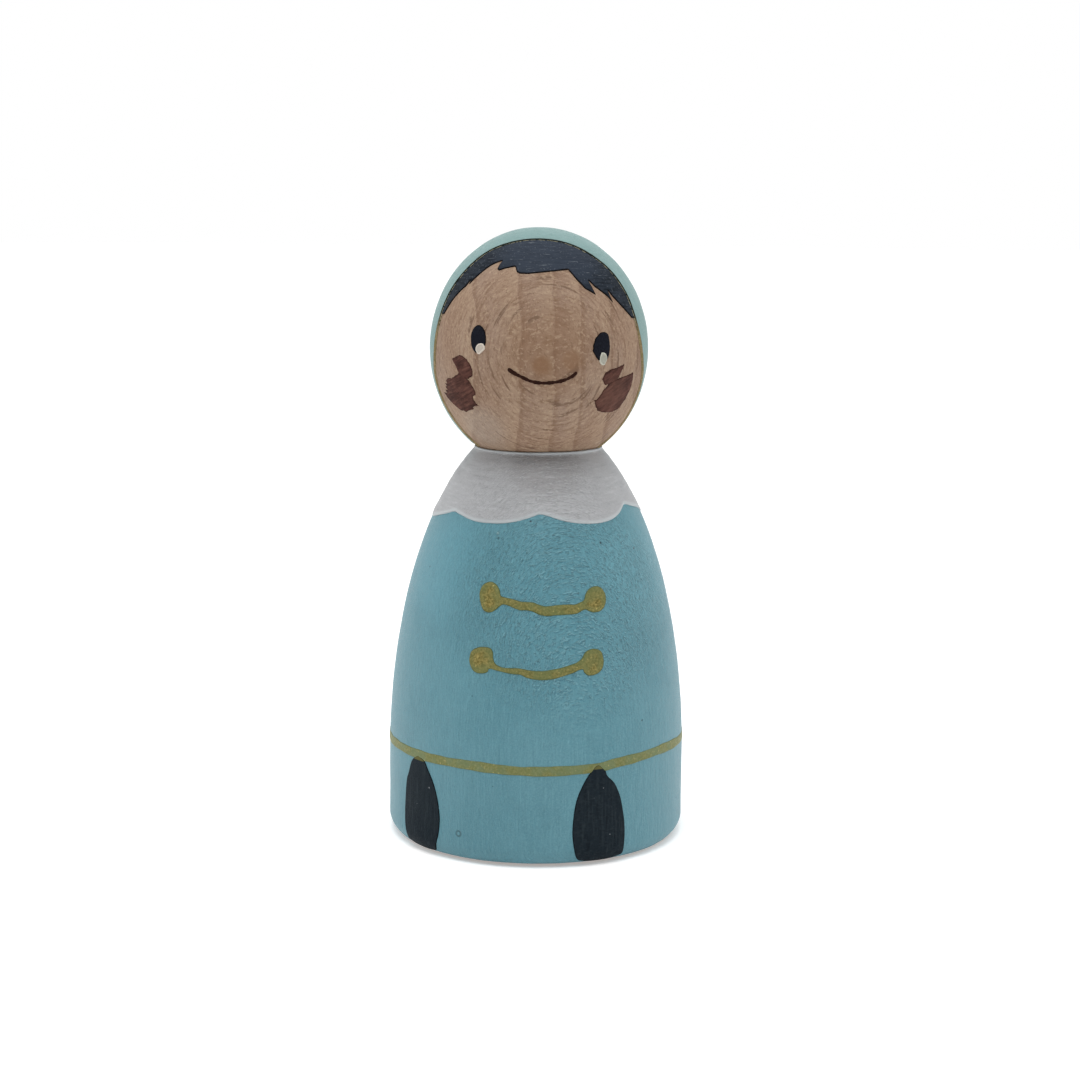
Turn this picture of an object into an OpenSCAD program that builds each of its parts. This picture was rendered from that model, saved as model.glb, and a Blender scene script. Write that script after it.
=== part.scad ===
// Painted peg doll: one turned hardwood blank and the coats of paint laid on it.
// The doll stands on z = 0 with its axis on Z and looks along -Y.
// Its own right hand is on -X and its own left hand on +X.
// Each coat of paint is a thin solid that lies face to face on what carries it.

/* [Blank] */
// Diameter of the turned body
body_d = 34.6; // [28:0.2:44]
// Height of the straight wall above the table
straight_h = 9.2; // [6:0.1:12]
// Height of the ellipse quarter that the shoulders follow
dome_h = 40.1; // [34:0.1:50]
// Radius of the rounding around the base
base_round = 2.1; // [1.2:0.1:4]
// Diameter of the neck at the bottom of its groove
neck_d = 14.3; // [12:0.1:17]
// Height of the flat at the bottom of the neck groove
neck_land = 0.2; // [0.1:0.05:0.5]
// Diameter of the head
head_d = 25.1; // [22:0.1:30]
// Height of the whole egg that the head is cut from
head_h = 27.6; // [24:0.1:32]

/* [Coat] */
// Thickness of the coat's paint
coat_t = 0.15; // [0.08:0.01:0.2]
// Height of the lowest paint above the table
paint_lift = 0.1; // [0.05:0.05:0.4]
// Bare height left on each side of the neck groove
groove_gap = 0.4; // [0.3:0.05:0.8]

/* [Collar] */
// Thickness of the collar's paint
collar_t = 0.2; // [0.1:0.01:0.25]
// Drop from the neck to the lowest point of a scallop
collar_drop = 7.5; // [5:0.1:10]
// Height of the points between two scallops
scallop_depth = 1.15; // [0.4:0.05:2]
// Number of scallops around the collar
scallop_count = 7; // [5:1:12]
// Angle of the first point between scallops from the front
scallop_angle = 2; // [-25:1:25]

/* [Hood] */
// Thickness of the hood's paint
hood_t = 0.15; // [0.08:0.01:0.2]
// Width of the line drawn along the hood's edge
trim_w = 0.3; // [0.15:0.05:0.6]
// Thickness of the line drawn along the hood's edge
trim_t = 0.18; // [0.1:0.01:0.25]
// Angle of the hood's opening about the axis
hood_angle = 1; // [-5:0.5:5]

/* [Hair] */
// Thickness of the hair's paint
hair_t = 0.12; // [0.06:0.01:0.15]

/* [Eyes] */
// Thickness of the eyes' paint
eye_t = 0.1; // [0.05:0.01:0.15]
// Thickness of the dots of light over the eyes
glint_t = 0.1; // [0.05:0.01:0.15]
// Width of the right eye
right_eye_w = 2.1; // [1.4:0.1:3]
// Height of the right eye
right_eye_h = 3.1; // [2:0.1:4]
// Angle of the right eye from the front
right_eye_angle = -32.5; // [-40:0.5:-25]
// Height of the right eye's middle above the head's middle
right_eye_rise = 1.7; // [0:0.1:4]
// Width of the left eye
left_eye_w = 2.3; // [1.4:0.1:3]
// Height of the left eye
left_eye_h = 3; // [2:0.1:4]
// Angle of the left eye from the front
left_eye_angle = 33; // [25:0.5:40]
// Height of the left eye's middle above the head's middle
left_eye_rise = 1.1; // [0:0.1:4]
// Width of the dot of light in the right eye
right_glint_w = 0.95; // [0.5:0.05:1.3]
// Height of the dot of light in the right eye
right_glint_h = 1.15; // [0.5:0.05:1.6]
// Width of the dot of light in the left eye
left_glint_w = 1.05; // [0.5:0.05:1.3]
// Height of the dot of light in the left eye
left_glint_h = 1.5; // [0.5:0.05:1.8]

/* [Smile] */
// Width of the smile from corner to corner
smile_w = 7.6; // [5:0.1:10]
// Height of the smile's corners above its lowest point
smile_rise = 1.5; // [0.5:0.1:3]
// Width of the smile's line
smile_line = 0.4; // [0.2:0.05:0.8]
// Thickness of the smile's paint
smile_t = 0.08; // [0.05:0.01:0.15]
// Drop of the smile's lowest point below the head's middle
smile_drop = 3.05; // [1:0.05:5]
// Sideways shift of the smile's middle
smile_shift = 0.25; // [-1:0.05:1]

/* [Cheeks] */
// Thickness of the cheeks' paint
cheek_t = 0.08; // [0.05:0.01:0.15]
// Width of the right cheek
right_cheek_w = 6; // [4:0.1:7]
// Height of the right cheek
right_cheek_h = 6.5; // [4:0.1:7]
// Angle of the right cheek from the front
right_cheek_angle = -49.5; // [-55:0.5:-45]
// Drop of the right cheek's middle below the head's middle
right_cheek_drop = 3.5; // [2.5:0.1:4.5]
// Width of the left cheek
left_cheek_w = 5.8; // [4:0.1:7]
// Height of the left cheek
left_cheek_h = 5.5; // [4:0.1:7]
// Angle of the left cheek from the front
left_cheek_angle = 45; // [40:0.5:52]
// Drop of the left cheek's middle below the head's middle
left_cheek_drop = 3.85; // [2.5:0.05:4.5]

/* [Clasps] */
// Thickness of the gold paint of the clasps and the hem line
gold_t = 0.12; // [0.06:0.01:0.2]
// Height of the upper clasp's dots above the table
upper_clasp_z = 30.3; // [28:0.1:33]
// Distance between the dots of the upper clasp
upper_clasp_span = 11.5; // [8:0.1:14]
// Sag of the upper clasp's cord
upper_clasp_sag = 1.15; // [0:0.05:2]
// Sideways shift of the upper clasp
upper_clasp_shift = 0.55; // [-1:0.05:1]
// Height of the lower clasp's dots above the table
lower_clasp_z = 23.4; // [20:0.1:25]
// Distance between the dots of the lower clasp
lower_clasp_span = 12.25; // [8:0.05:14]
// Sag of the lower clasp's cord
lower_clasp_sag = 1.25; // [0:0.05:2]
// Width of a clasp's dot
dot_w = 2.65; // [1.5:0.05:3.5]
// Height of a clasp's dot
dot_h = 2.95; // [1.5:0.05:4]
// Width of a clasp's cord
cord_w = 1; // [0.5:0.05:1.6]

/* [Hem] */
// Height of the hem line's middle above the table
hem_z = 11.5; // [9:0.1:15]
// Width of the hem line
hem_w = 0.8; // [0.4:0.05:1.6]

/* [Boots] */
// Thickness of the boots' paint
boot_t = 0.12; // [0.06:0.01:0.2]
// Width of a boot
boot_w = 6.7; // [4:0.1:9]
// Height of the boots' lower edge above the table
boot_lift = 0.3; // [0.2:0.05:1]
// Angle of the right boot from the front
right_boot_angle = -50; // [-60:1:-35]
// Angle of the left boot from the front
left_boot_angle = 24.5; // [15:0.5:45]

/* [Hidden] */

// Colours
wood_colour = [0.72, 0.58, 0.47];
coat_colour = [0.42, 0.62, 0.67];
collar_colour = [0.80, 0.79, 0.80];
hood_colour = [0.60, 0.76, 0.74];
trim_colour = [0.45, 0.45, 0.30];
hair_colour = [0.16, 0.19, 0.23];
eye_colour = [0.10, 0.10, 0.12];
glint_colour = [0.90, 0.88, 0.82];
smile_colour = [0.22, 0.12, 0.09];
cheek_colour = [0.38, 0.25, 0.23];
gold_colour = [0.56, 0.53, 0.26];
boot_colour = [0.11, 0.14, 0.19];

// The blank's sizes that follow from the driving ones
body_r = body_d / 2;
head_r = head_d / 2;
neck_r = neck_d / 2;
egg_h = head_h / 2;
neck_z = straight_h + dome_h * sin(acos(neck_r / body_r));
head_neck_z = neck_z + neck_land;
head_z = head_neck_z + egg_h * sin(acos(neck_r / head_r));

// Steps along the turned outline and along a drawn curve, and around a full turn
round_fn = 96;
base_steps = 4;
round_steps = 8;
dome_steps = 22;
head_steps = 36;
curve_steps = 4;
ellipse_steps = 28;
lobe_steps = 8;

// A site is a point of the turned outline, as [radius, height], with the outward normal there
function unit(v) = v / norm(v);
function round_site(a) = [
  [body_r - base_round + base_round * cos(a), base_round - base_round * sin(a)],
  [cos(a), -sin(a)]
];
function dome_site(a) = [
  [body_r * cos(a), straight_h + dome_h * sin(a)],
  unit([cos(a) / body_r, sin(a) / dome_h])
];
function head_site(a) = [
  [head_r * cos(a), head_z + egg_h * sin(a)],
  unit([cos(a) / head_r, sin(a) / egg_h])
];

// Where paint starts and stops on the outline, as angles on its rounds
paint_start_a = asin((base_round - paint_lift) / (base_round + coat_t + boot_t));
dome_stop_a = asin((neck_z - groove_gap - straight_h) / dome_h);
head_start_a = asin((head_neck_z + groove_gap - head_z) / egg_h);

// The body's outline under paint, and the head's outline that paint may cover
body_sites = concat(
  [for (i = [0:round_steps]) round_site(paint_start_a * (1 - i / round_steps))],
  [for (i = [0:dome_steps]) dome_site(dome_stop_a * i / dome_steps)]
);
head_sites = [
  for (i = [0:head_steps]) head_site(head_start_a + (90 - head_start_a) * i / head_steps)
];

function raised(sites, t) = [for (s = sites) s[0] + t * s[1]];
function reversed(list) = [for (i = [1:len(list)]) list[len(list) - i]];

// Radius of the body's skin, raised by t, at a height on the dome
function skin_r(z, t) =
  let (a = asin((z - straight_h) / dome_h), s = dome_site(a))
  s[0].x + t / s[1].x;

// A smooth curve through the points of a list, whose ends stay as they are
function curve_point(a, b, c, d, t) =
  (2 * b + (c - a) * t + (2 * a - 5 * b + 4 * c - d) * t * t + (3 * b - a - 3 * c + d) * t * t * t) / 2;
function curve(points) =
  let (last = len(points) - 1)
  concat(
    [
      for (i = [0:last - 1], j = [0:curve_steps - 1])
        curve_point(
          points[max(i - 1, 0)], points[i], points[i + 1], points[min(i + 2, last)],
          j / curve_steps
        )
    ],
    [points[last]]
  );

// Points given as shares of a width and a height, around a middle
function sized(shares, w, h, x, z) = [for (p = shares) [x + p.x * w, z + p.y * h]];
function ellipse(w, h, x, z) = [
  for (i = [1:ellipse_steps])
    let (a = 360 * (i - 1 / 2) / ellipse_steps)
    [x + w / 2 * cos(a), z + h / 2 * sin(a)]
];

// Outline of a brush line of an even width along a list of points
function side_of(path, i) =
  let (d = path[min(i + 1, len(path) - 1)] - path[max(i - 1, 0)])
  unit([-d.y, d.x]);
function stroke(path, w) = concat(
  [for (i = [0:len(path) - 1]) path[i] + w / 2 * side_of(path, i)],
  reversed([for (i = [0:len(path) - 1]) path[i] - w / 2 * side_of(path, i)])
);

// A coat of paint around the axis, from one height above the wood to another
module skin(sites, low, high) {
  rotate_extrude($fn = round_fn)
    polygon(concat(raised(sites, low), reversed(raised(sites, high))));
}

// A front view outline carried outwards from the axis, turned about it
module outwards(angle) {
  rotate([0, 0, angle])
    rotate([90, 0, 0])
      linear_extrude(height = body_d)
        children();
}

// A side view outline, as [y, z], carried across the whole doll
module across() {
  rotate([0, 0, hood_angle])
    rotate([90, 0, 90])
      translate([0, 0, -body_d / 2])
        linear_extrude(height = body_d)
          children();
}

// The edge of the hood in side view, as shares of the head's radius and half height
hood_edge_shares = [
  [-0.23, -1.1], [-0.235, -0.62], [-0.225, -0.42], [-0.27, -0.29], [-0.36, -0.14],
  [-0.405, 0.02], [-0.41, 0.34], [-0.405, 0.63], [-0.42, 0.86], [-0.45, 1.1]
];
hood_edge = curve(sized(hood_edge_shares, head_r, egg_h, 0, head_z));
trim_edge = [for (p = hood_edge) p - [trim_w, 0]];
top_of_edge = hood_edge[len(hood_edge) - 1];
foot_of_edge = hood_edge[0];

// The hair's fringe in front view, from the doll's right to its left
fringe_shares = [
  [-1.10, 0.10], [-0.88, 0.29], [-0.71, 0.50], [-0.60, 0.57], [-0.39, 0.74], [-0.33, 0.68],
  [-0.23, 0.70], [-0.20, 0.64], [0, 0.65], [0.26, 0.68], [0.36, 0.56], [0.45, 0.51],
  [0.43, 0.57], [0.52, 0.52], [0.62, 0.49], [0.60, 0.53], [0.66, 0.45], [0.74, 0.39],
  [0.83, 0.27], [1.10, 0.02]
];
fringe = sized(fringe_shares, head_r, egg_h, 0, head_z);

// Two brush strokes make a cheek: shares of its width and height around its middle
right_cheek_upper_shares = [
  [-0.03, 0.42], [0.19, 0.50], [0.36, 0.42], [0.47, 0.31], [0.50, 0.21], [0.40, 0.06],
  [0.14, 0.13], [0.05, 0.32]
];
right_cheek_lower_shares = [
  [-0.26, 0.07], [-0.05, 0.10], [0.14, 0.17], [0.36, 0.09], [0.43, -0.02], [0.49, -0.12],
  [0.40, -0.22], [0.46, -0.37], [0.32, -0.45], [0.11, -0.50], [-0.07, -0.49],
  [-0.22, -0.41], [-0.41, -0.30], [-0.50, -0.21], [-0.33, -0.02]
];
left_cheek_upper_shares = [
  [0.16, 0.50], [-0.30, 0.37], [-0.40, 0.27], [-0.30, 0.06], [-0.16, 0.10], [0.02, 0.17],
  [0.12, 0.33]
];
left_cheek_lower_shares = [
  [0.48, 0.30], [-0.01, 0.21], [-0.26, 0.02], [-0.36, -0.10], [-0.50, -0.22],
  [-0.38, -0.40], [-0.22, -0.49], [-0.05, -0.50], [0.13, -0.45], [0.27, -0.33],
  [0.43, -0.16], [0.50, 0.03]
];

// The smile's line as shares of its width and rise
smile_shares = [
  [-0.5, 1], [-0.35, 0.60], [-0.2, 0.22], [-0.06, 0.02], [0.08, 0], [0.23, 0.07],
  [0.38, 0.28], [0.5, 0.70]
];

// The cords of the clasps as shares of the dots' distance and the sag
upper_cord_shares = [[-0.5, 0], [-0.38, -0.15], [-0.14, -0.6], [0.09, -1], [0.32, -0.88], [0.5, -0.1]];
lower_cord_shares = [
  [-0.5, 0], [-0.36, -0.45], [-0.2, -0.78], [0, -1], [0.2, -0.83], [0.36, -0.35], [0.5, 0]
];

// One side of a boot, from its tip down, as shares of its width and height
boot_shares = [
  [0, 1], [0.15, 0.94], [0.3, 0.82], [0.4, 0.68], [0.47, 0.52], [0.5, 0.33], [0.48, 0.15],
  [0.38, 0]
];
boot_top = hem_z - hem_w / 2;
boot_side = curve(sized(boot_shares, boot_w, boot_top - boot_lift, 0, boot_lift));
boot_outline = concat(boot_side, reversed([for (p = boot_side) if (p.x > 0) [-p.x, p.y]]));

// The dot of light sits in the lower part of an eye: shares of the eye's size
right_glint_shares = [0.14, -0.32];
left_glint_shares = [0.12, -0.5];

// The turned piece of wood: base, body, neck groove and head in one
module turned_blank() {
  base_sites = [
    for (i = [0:base_steps - 1]) round_site(90 - (90 - paint_start_a) * i / base_steps)
  ];
  neck_sites = [dome_site(acos(neck_r / body_r)), head_site(-acos(neck_r / head_r))];
  color(wood_colour)
    rotate_extrude($fn = round_fn)
      polygon(
        concat([[0, 0]], raised(concat(base_sites, body_sites, neck_sites, head_sites), 0))
      );
}

// The coat covers the body from the base rounding to the neck, under the collar too
module coat() {
  color(coat_colour)
    skin(body_sites, 0, coat_t);
}

// The collar's edge seen from above: round lobes that meet in points
lobe_power = 0.6;
function lobe_drop(a) = pow(abs(sin(scallop_count * (a - scallop_angle) / 2)), lobe_power);
module collar() {
  low_z = neck_z - collar_drop;
  steps = scallop_count * lobe_steps;
  edge = [
    for (i = [0:steps - 1])
      let (
        a = scallop_angle + 360 * i / steps,
        r = skin_r(low_z + scallop_depth * (1 - lobe_drop(a)), coat_t)
      )
      [r * sin(a), -r * cos(a)]
  ];
  color(collar_colour)
    intersection() {
      skin(body_sites, coat_t, coat_t + collar_t);
      translate([0, 0, low_z - collar_drop])
        linear_extrude(height = head_z)
          polygon(edge);
    }
}

// The hood covers the back and the sides of the head up to its edge
module hood() {
  color(hood_colour)
    intersection() {
      skin(head_sites, 0, hood_t);
      across()
        polygon(concat(hood_edge, [[head_d, top_of_edge.y], [head_d, foot_of_edge.y]]));
    }
}

// A fine line runs along the hood's edge, all around the face
module hood_trim() {
  color(trim_colour)
    intersection() {
      skin(head_sites, 0, trim_t);
      across()
        polygon(concat(hood_edge, reversed(trim_edge)));
    }
}

// The hair lies between the hood's line and the fringe
module hair() {
  color(hair_colour)
    intersection() {
      skin(head_sites, 0, hair_t);
      across()
        polygon(concat(trim_edge, [[-head_d, top_of_edge.y], [-head_d, foot_of_edge.y]]));
      outwards(0)
        polygon(concat(fringe, [[head_d, head_z + head_h], [-head_d, head_z + head_h]]));
    }
}

// A dab of paint on the head with an outline of its own, seen from one side
module head_dab(angle, low, high) {
  intersection() {
    skin(head_sites, low, high);
    outwards(angle)
      children();
  }
}

module eye(angle, w, h, rise) {
  head_dab(angle, 0, eye_t)
    polygon(ellipse(w, h, 0, head_z + rise));
}

// A dot of light lies over the eye, and on the wood where it hangs out of the eye
module glint(angle, w, h, eye_w, eye_h, rise, shares) {
  difference() {
    head_dab(angle, 0, eye_t + glint_t)
      polygon(ellipse(w, h, shares.x * eye_w, head_z + rise + shares.y * eye_h));
    eye(angle, eye_w, eye_h, rise);
  }
}

module right_eye() {
  color(eye_colour)
    eye(right_eye_angle, right_eye_w, right_eye_h, right_eye_rise);
}

module left_eye() {
  color(eye_colour)
    eye(left_eye_angle, left_eye_w, left_eye_h, left_eye_rise);
}

module right_eye_glint() {
  color(glint_colour)
    glint(
      right_eye_angle, right_glint_w, right_glint_h, right_eye_w, right_eye_h, right_eye_rise,
      right_glint_shares
    );
}

module left_eye_glint() {
  color(glint_colour)
    glint(
      left_eye_angle, left_glint_w, left_glint_h, left_eye_w, left_eye_h, left_eye_rise,
      left_glint_shares
    );
}

module smile() {
  line = curve(sized(smile_shares, smile_w, smile_rise, smile_shift, head_z - smile_drop));
  color(smile_colour)
    head_dab(0, 0, smile_t)
      polygon(stroke(line, smile_line));
}

module cheek(angle, w, h, drop, upper, lower) {
  for (strokes = [upper, lower])
    head_dab(angle, 0, cheek_t)
      polygon(sized(strokes, w, h, 0, head_z - drop));
}

module right_cheek() {
  color(cheek_colour)
    cheek(
      right_cheek_angle, right_cheek_w, right_cheek_h, right_cheek_drop,
      right_cheek_upper_shares, right_cheek_lower_shares
    );
}

module left_cheek() {
  color(cheek_colour)
    cheek(
      left_cheek_angle, left_cheek_w, left_cheek_h, left_cheek_drop,
      left_cheek_upper_shares, left_cheek_lower_shares
    );
}

// Two dots joined by a hanging cord, painted on the front of the coat
module clasp(span, sag, shift, z, cord_shares) {
  module on_coat() {
    intersection() {
      skin(body_sites, coat_t, coat_t + gold_t);
      outwards(0)
        children();
    }
  }
  for (side = [-1, 1])
    on_coat()
      polygon(ellipse(dot_w, dot_h, shift + side * span / 2, z));
  on_coat()
    polygon(stroke(curve(sized(cord_shares, span, sag, shift, z)), cord_w));
}

module upper_clasp() {
  color(gold_colour)
    clasp(upper_clasp_span, upper_clasp_sag, upper_clasp_shift, upper_clasp_z, upper_cord_shares);
}

module lower_clasp() {
  color(gold_colour)
    clasp(lower_clasp_span, lower_clasp_sag, 0, lower_clasp_z, lower_cord_shares);
}

// A gold line runs round the whole coat above the boots
module hem_line() {
  color(gold_colour)
    intersection() {
      skin(body_sites, coat_t, coat_t + gold_t);
      translate([0, 0, hem_z - hem_w / 2])
        cylinder(h = hem_w, d = 2 * body_d, $fn = round_fn);
    }
}

// A boot is a pointed leaf of paint from the hem line down over the base rounding
module boot(angle) {
  intersection() {
    skin(body_sites, coat_t, coat_t + boot_t);
    outwards(angle)
      polygon(boot_outline);
  }
}

module right_boot() {
  color(boot_colour)
    boot(right_boot_angle);
}

module left_boot() {
  color(boot_colour)
    boot(left_boot_angle);
}

turned_blank();
coat();
collar();
hood();
hood_trim();
hair();
right_eye();
left_eye();
right_eye_glint();
left_eye_glint();
smile();
right_cheek();
left_cheek();
upper_clasp();
lower_clasp();
hem_line();
right_boot();
left_boot();
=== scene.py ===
import math

import bpy
import numpy as np
from mathutils import Matrix, Vector
from mathutils.geometry import delaunay_2d_cdt


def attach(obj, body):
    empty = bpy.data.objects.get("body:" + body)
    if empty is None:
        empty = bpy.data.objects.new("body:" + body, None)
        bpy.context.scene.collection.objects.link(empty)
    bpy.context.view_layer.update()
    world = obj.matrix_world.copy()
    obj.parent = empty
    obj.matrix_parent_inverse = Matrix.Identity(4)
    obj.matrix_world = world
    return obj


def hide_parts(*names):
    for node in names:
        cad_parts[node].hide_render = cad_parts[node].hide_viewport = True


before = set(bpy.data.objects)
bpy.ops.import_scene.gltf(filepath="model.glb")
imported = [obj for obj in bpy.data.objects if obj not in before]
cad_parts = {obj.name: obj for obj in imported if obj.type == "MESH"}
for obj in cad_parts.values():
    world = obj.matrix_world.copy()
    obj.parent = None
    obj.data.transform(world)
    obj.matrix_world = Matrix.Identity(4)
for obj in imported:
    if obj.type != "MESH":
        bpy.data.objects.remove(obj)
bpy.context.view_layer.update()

# All shapes below are worked out in millimetres and written to the meshes in metres
MM = 0.001

# The turned outline, with the same sizes as the solid of the turned blank
BODY_R, STRAIGHT_H, DOME_H, BASE_ROUND = 17.3, 9.2, 40.1, 2.1
NECK_R, NECK_LAND, HEAD_R, EGG_H = 7.15, 0.2, 12.55, 13.8
NECK_Z = STRAIGHT_H + DOME_H * math.sin(math.acos(NECK_R / BODY_R))
HEAD_NECK_Z = NECK_Z + NECK_LAND
HEAD_Z = HEAD_NECK_Z + EGG_H * math.sin(math.acos(NECK_R / HEAD_R))

# Thickness of each coat of paint. Real brushed paint is thinner than the solids that stand for it
COAT_T, HOOD_T, TRIM_T, HAIR_T = 0.15, 0.15, 0.18, 0.1
EYE_T, GLINT_T, SMILE_T, CHEEK_T, GOLD_T, HEM_T, BOOT_T = 0.09, 0.08, 0.07, 0.07, 0.08, 0.06, 0.08

# How far a paint's border lies in what carries it, and the edge value of points far from any border
SUNK = 0.02
FAR_IN = 5.0

# How many points the outline has on the base's rounding, the wall and the dome
ROUND_POINTS, WALL_POINTS, DOME_POINTS = 60, 30, 900

# The camera: where it stands, how far it looks down and leans, and its focal length in pixels
CAMERA_AT = np.array([0.0, -243.31, 74.66])
CAMERA_DOWN, CAMERA_LEAN = math.radians(9.408), math.radians(0.45)
FOCAL_PIXELS, PICTURE_PIXELS = 2089.29, 1080
AIM_PIXEL = np.array([537.5, 542.57])
SENSOR_MM = 36
NEAR_CLIP, FAR_CLIP = 0.01, 10


def add_camera():
    """The lens follows from the focal length in pixels, and the shift puts the aim on its pixel."""
    camera = bpy.data.objects.new("camera", bpy.data.cameras.new("camera"))
    bpy.context.scene.collection.objects.link(camera)
    camera.data.sensor_width = SENSOR_MM
    camera.data.lens = FOCAL_PIXELS / PICTURE_PIXELS * SENSOR_MM
    camera.data.shift_x = (PICTURE_PIXELS / 2 - AIM_PIXEL[0]) / PICTURE_PIXELS
    camera.data.shift_y = (AIM_PIXEL[1] - PICTURE_PIXELS / 2) / PICTURE_PIXELS
    camera.data.clip_start, camera.data.clip_end = NEAR_CLIP, FAR_CLIP
    turn = Matrix.Rotation(math.pi / 2 - CAMERA_DOWN, 4, "X") @ Matrix.Rotation(CAMERA_LEAN, 4, "Z")
    camera.matrix_world = Matrix.Translation(CAMERA_AT * MM) @ turn
    bpy.context.scene.camera = camera


add_camera()


# The turned outline as arrays

def body_outline():
    """Radius, height and outward normal along the body, from the flat base's rim to the neck.

    A quarter circle rounds the base, a straight wall follows, and then a quarter of an ellipse."""
    a = np.linspace(math.pi / 2, 0, ROUND_POINTS)
    b = np.linspace(0, math.acos(NECK_R / BODY_R), DOME_POINTS)
    wall = np.linspace(BASE_ROUND, STRAIGHT_H, WALL_POINTS)[1:-1]
    r = [BODY_R - BASE_ROUND + BASE_ROUND * np.cos(a), BODY_R + 0 * wall, BODY_R * np.cos(b)]
    z = [BASE_ROUND - BASE_ROUND * np.sin(a), wall, STRAIGHT_H + DOME_H * np.sin(b)]
    nr = [np.cos(a), 1 + 0 * wall, np.cos(b) / BODY_R]
    nz = [-np.sin(a), 0 * wall, np.sin(b) / DOME_H]
    r, z, nr, nz = (np.concatenate(part) for part in (r, z, nr, nz))
    size = np.hypot(nr, nz)
    along = np.concatenate([[0], np.cumsum(np.hypot(np.diff(r), np.diff(z)))])
    return along, r, z, nr / size, nz / size


BODY_ALONG, BODY_RADII, BODY_HEIGHTS, BODY_NR, BODY_NZ = body_outline()
ROUND_END, NECK_ALONG = BODY_ALONG[ROUND_POINTS - 1], BODY_ALONG[-1]


def outline_radius(z):
    """Radius of the painted outline at a height: the body's with its coat, or the bare egg's, which
    is its half width times the root of 1 less the square of the height's share."""
    body = np.interp(z, BODY_HEIGHTS, BODY_RADII) + COAT_T
    head = HEAD_R * np.sqrt(np.clip(1 - ((z - HEAD_Z) / EGG_H) ** 2, 0, None))
    return np.where(z < HEAD_NECK_Z, body, head)


def on_body(turned, along, lift):
    """Points on the body: turned is the angle from the front, along the length of outline from the
    flat base's rim, and lift the distance out along the normal."""
    r = np.interp(along, BODY_ALONG, BODY_RADII) + lift * np.interp(along, BODY_ALONG, BODY_NR)
    z = np.interp(along, BODY_ALONG, BODY_HEIGHTS) + lift * np.interp(along, BODY_ALONG, BODY_NZ)
    r, z, turned = np.broadcast_arrays(r, z, turned)
    return np.stack([r * np.sin(turned), -r * np.cos(turned), z], -1)


def on_head(way, lift):
    """Points on the egg of the head: unit directions times its half size, lifted along its normal."""
    size = np.array([HEAD_R, HEAD_R, EGG_H])
    normal = way / size
    normal = normal / np.linalg.norm(normal, axis=-1, keepdims=True)
    lift = np.asarray(lift)
    return way * size + np.array([0, 0, HEAD_Z]) + normal * lift[..., None]


def head_way(points):
    """The unit directions of points on the head: their places from its middle, each divided by the
    egg's half size, brought to length 1."""
    way = (points - np.array([0, 0, HEAD_Z])) / np.array([HEAD_R, HEAD_R, EGG_H])
    return way / np.linalg.norm(way, axis=-1, keepdims=True)


RAY_STEPS = 1500


def seen(pixels):
    """Where pixels of the photograph lie on the painted outline.

    Each pixel's ray leaves the camera, and the first crossing with the outline is found along it."""
    across, down = (np.asarray(pixels, float) - AIM_PIXEL).T
    c, s = math.cos(CAMERA_LEAN), math.sin(CAMERA_LEAN)
    across, down = (c * across + s * down) / FOCAL_PIXELS, (c * down - s * across) / FOCAL_PIXELS
    cp, sp = math.cos(CAMERA_DOWN), math.sin(CAMERA_DOWN)
    ray = np.stack([across, cp - down * sp, -sp - down * cp], -1)
    ray /= np.linalg.norm(ray, axis=-1, keepdims=True)
    far = -CAMERA_AT[1]
    steps = np.linspace(far - 2 * BODY_R, far + BODY_R, RAY_STEPS)
    path = CAMERA_AT + ray[:, None, :] * steps[:, None]
    outside = np.hypot(path[..., 0], path[..., 1]) - outline_radius(path[..., 2])
    outside[path[..., 2] > HEAD_Z + EGG_H] = 1
    k = np.maximum(np.argmax(outside <= 0, axis=1), 1)
    row = np.arange(len(k))
    before, after = outside[row, k - 1], outside[row, k]
    share = before / (before - after)
    return CAMERA_AT + ray * (steps[k - 1] + (steps[k] - steps[k - 1]) * share)[:, None]


# Drawing planes: the body unrolled at this radius, and the head seen from its own back
UNROLL_R = 17.0


def body_plane(points):
    """Across: the angle from the front times a fixed radius. Up: the length of outline."""
    turned = np.arctan2(points[:, 0], -points[:, 1])
    return np.stack([turned * UNROLL_R, np.interp(points[:, 2], BODY_HEIGHTS, BODY_ALONG)], -1)


def from_body_plane(flat, lift):
    """The way back from the unrolled body, with a lift along its normal."""
    return on_body(flat[:, 0] / UNROLL_R, flat[:, 1], lift)


def head_plane(points):
    """Each direction is cast from the back of the head on a plane that touches its front."""
    way = head_way(points)
    return 2 * HEAD_R * way[:, [0, 2]] / (1 - way[:, 1:2])


def from_head_plane(flat, lift):
    """The way back: the direction whose casting falls on a point of the plane, with a lift."""
    x, z = (flat / (2 * HEAD_R)).T
    far = x * x + z * z
    return on_head(np.stack([2 * x, far - 1, 2 * z], -1) / (1 + far)[:, None], lift)


# Curves and small random shapes

def drawn(points, steps=6, closed=False):
    """A smooth curve through given points: between two of them it is a cubic whose slope at each
    point is half the way from the point before to the point after."""
    p = np.asarray(points, float)
    last = len(p) if closed else len(p) - 1
    i = np.arange(last)
    pick = (lambda k: p[k % len(p)]) if closed else (lambda k: p[np.clip(k, 0, len(p) - 1)])
    a, b, c, d = (pick(i + k)[:, None] for k in (-1, 0, 1, 2))
    t = (np.arange(steps) / steps)[None, :, None]
    curve = (2 * b + (c - a) * t + (2 * a - 5 * b + 4 * c - d) * t**2 + (3 * b - a - 3 * c + d) * t**3) / 2
    curve = curve.reshape(-1, p.shape[1])
    return curve if closed else np.concatenate([curve, p[-1:]])


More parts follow.
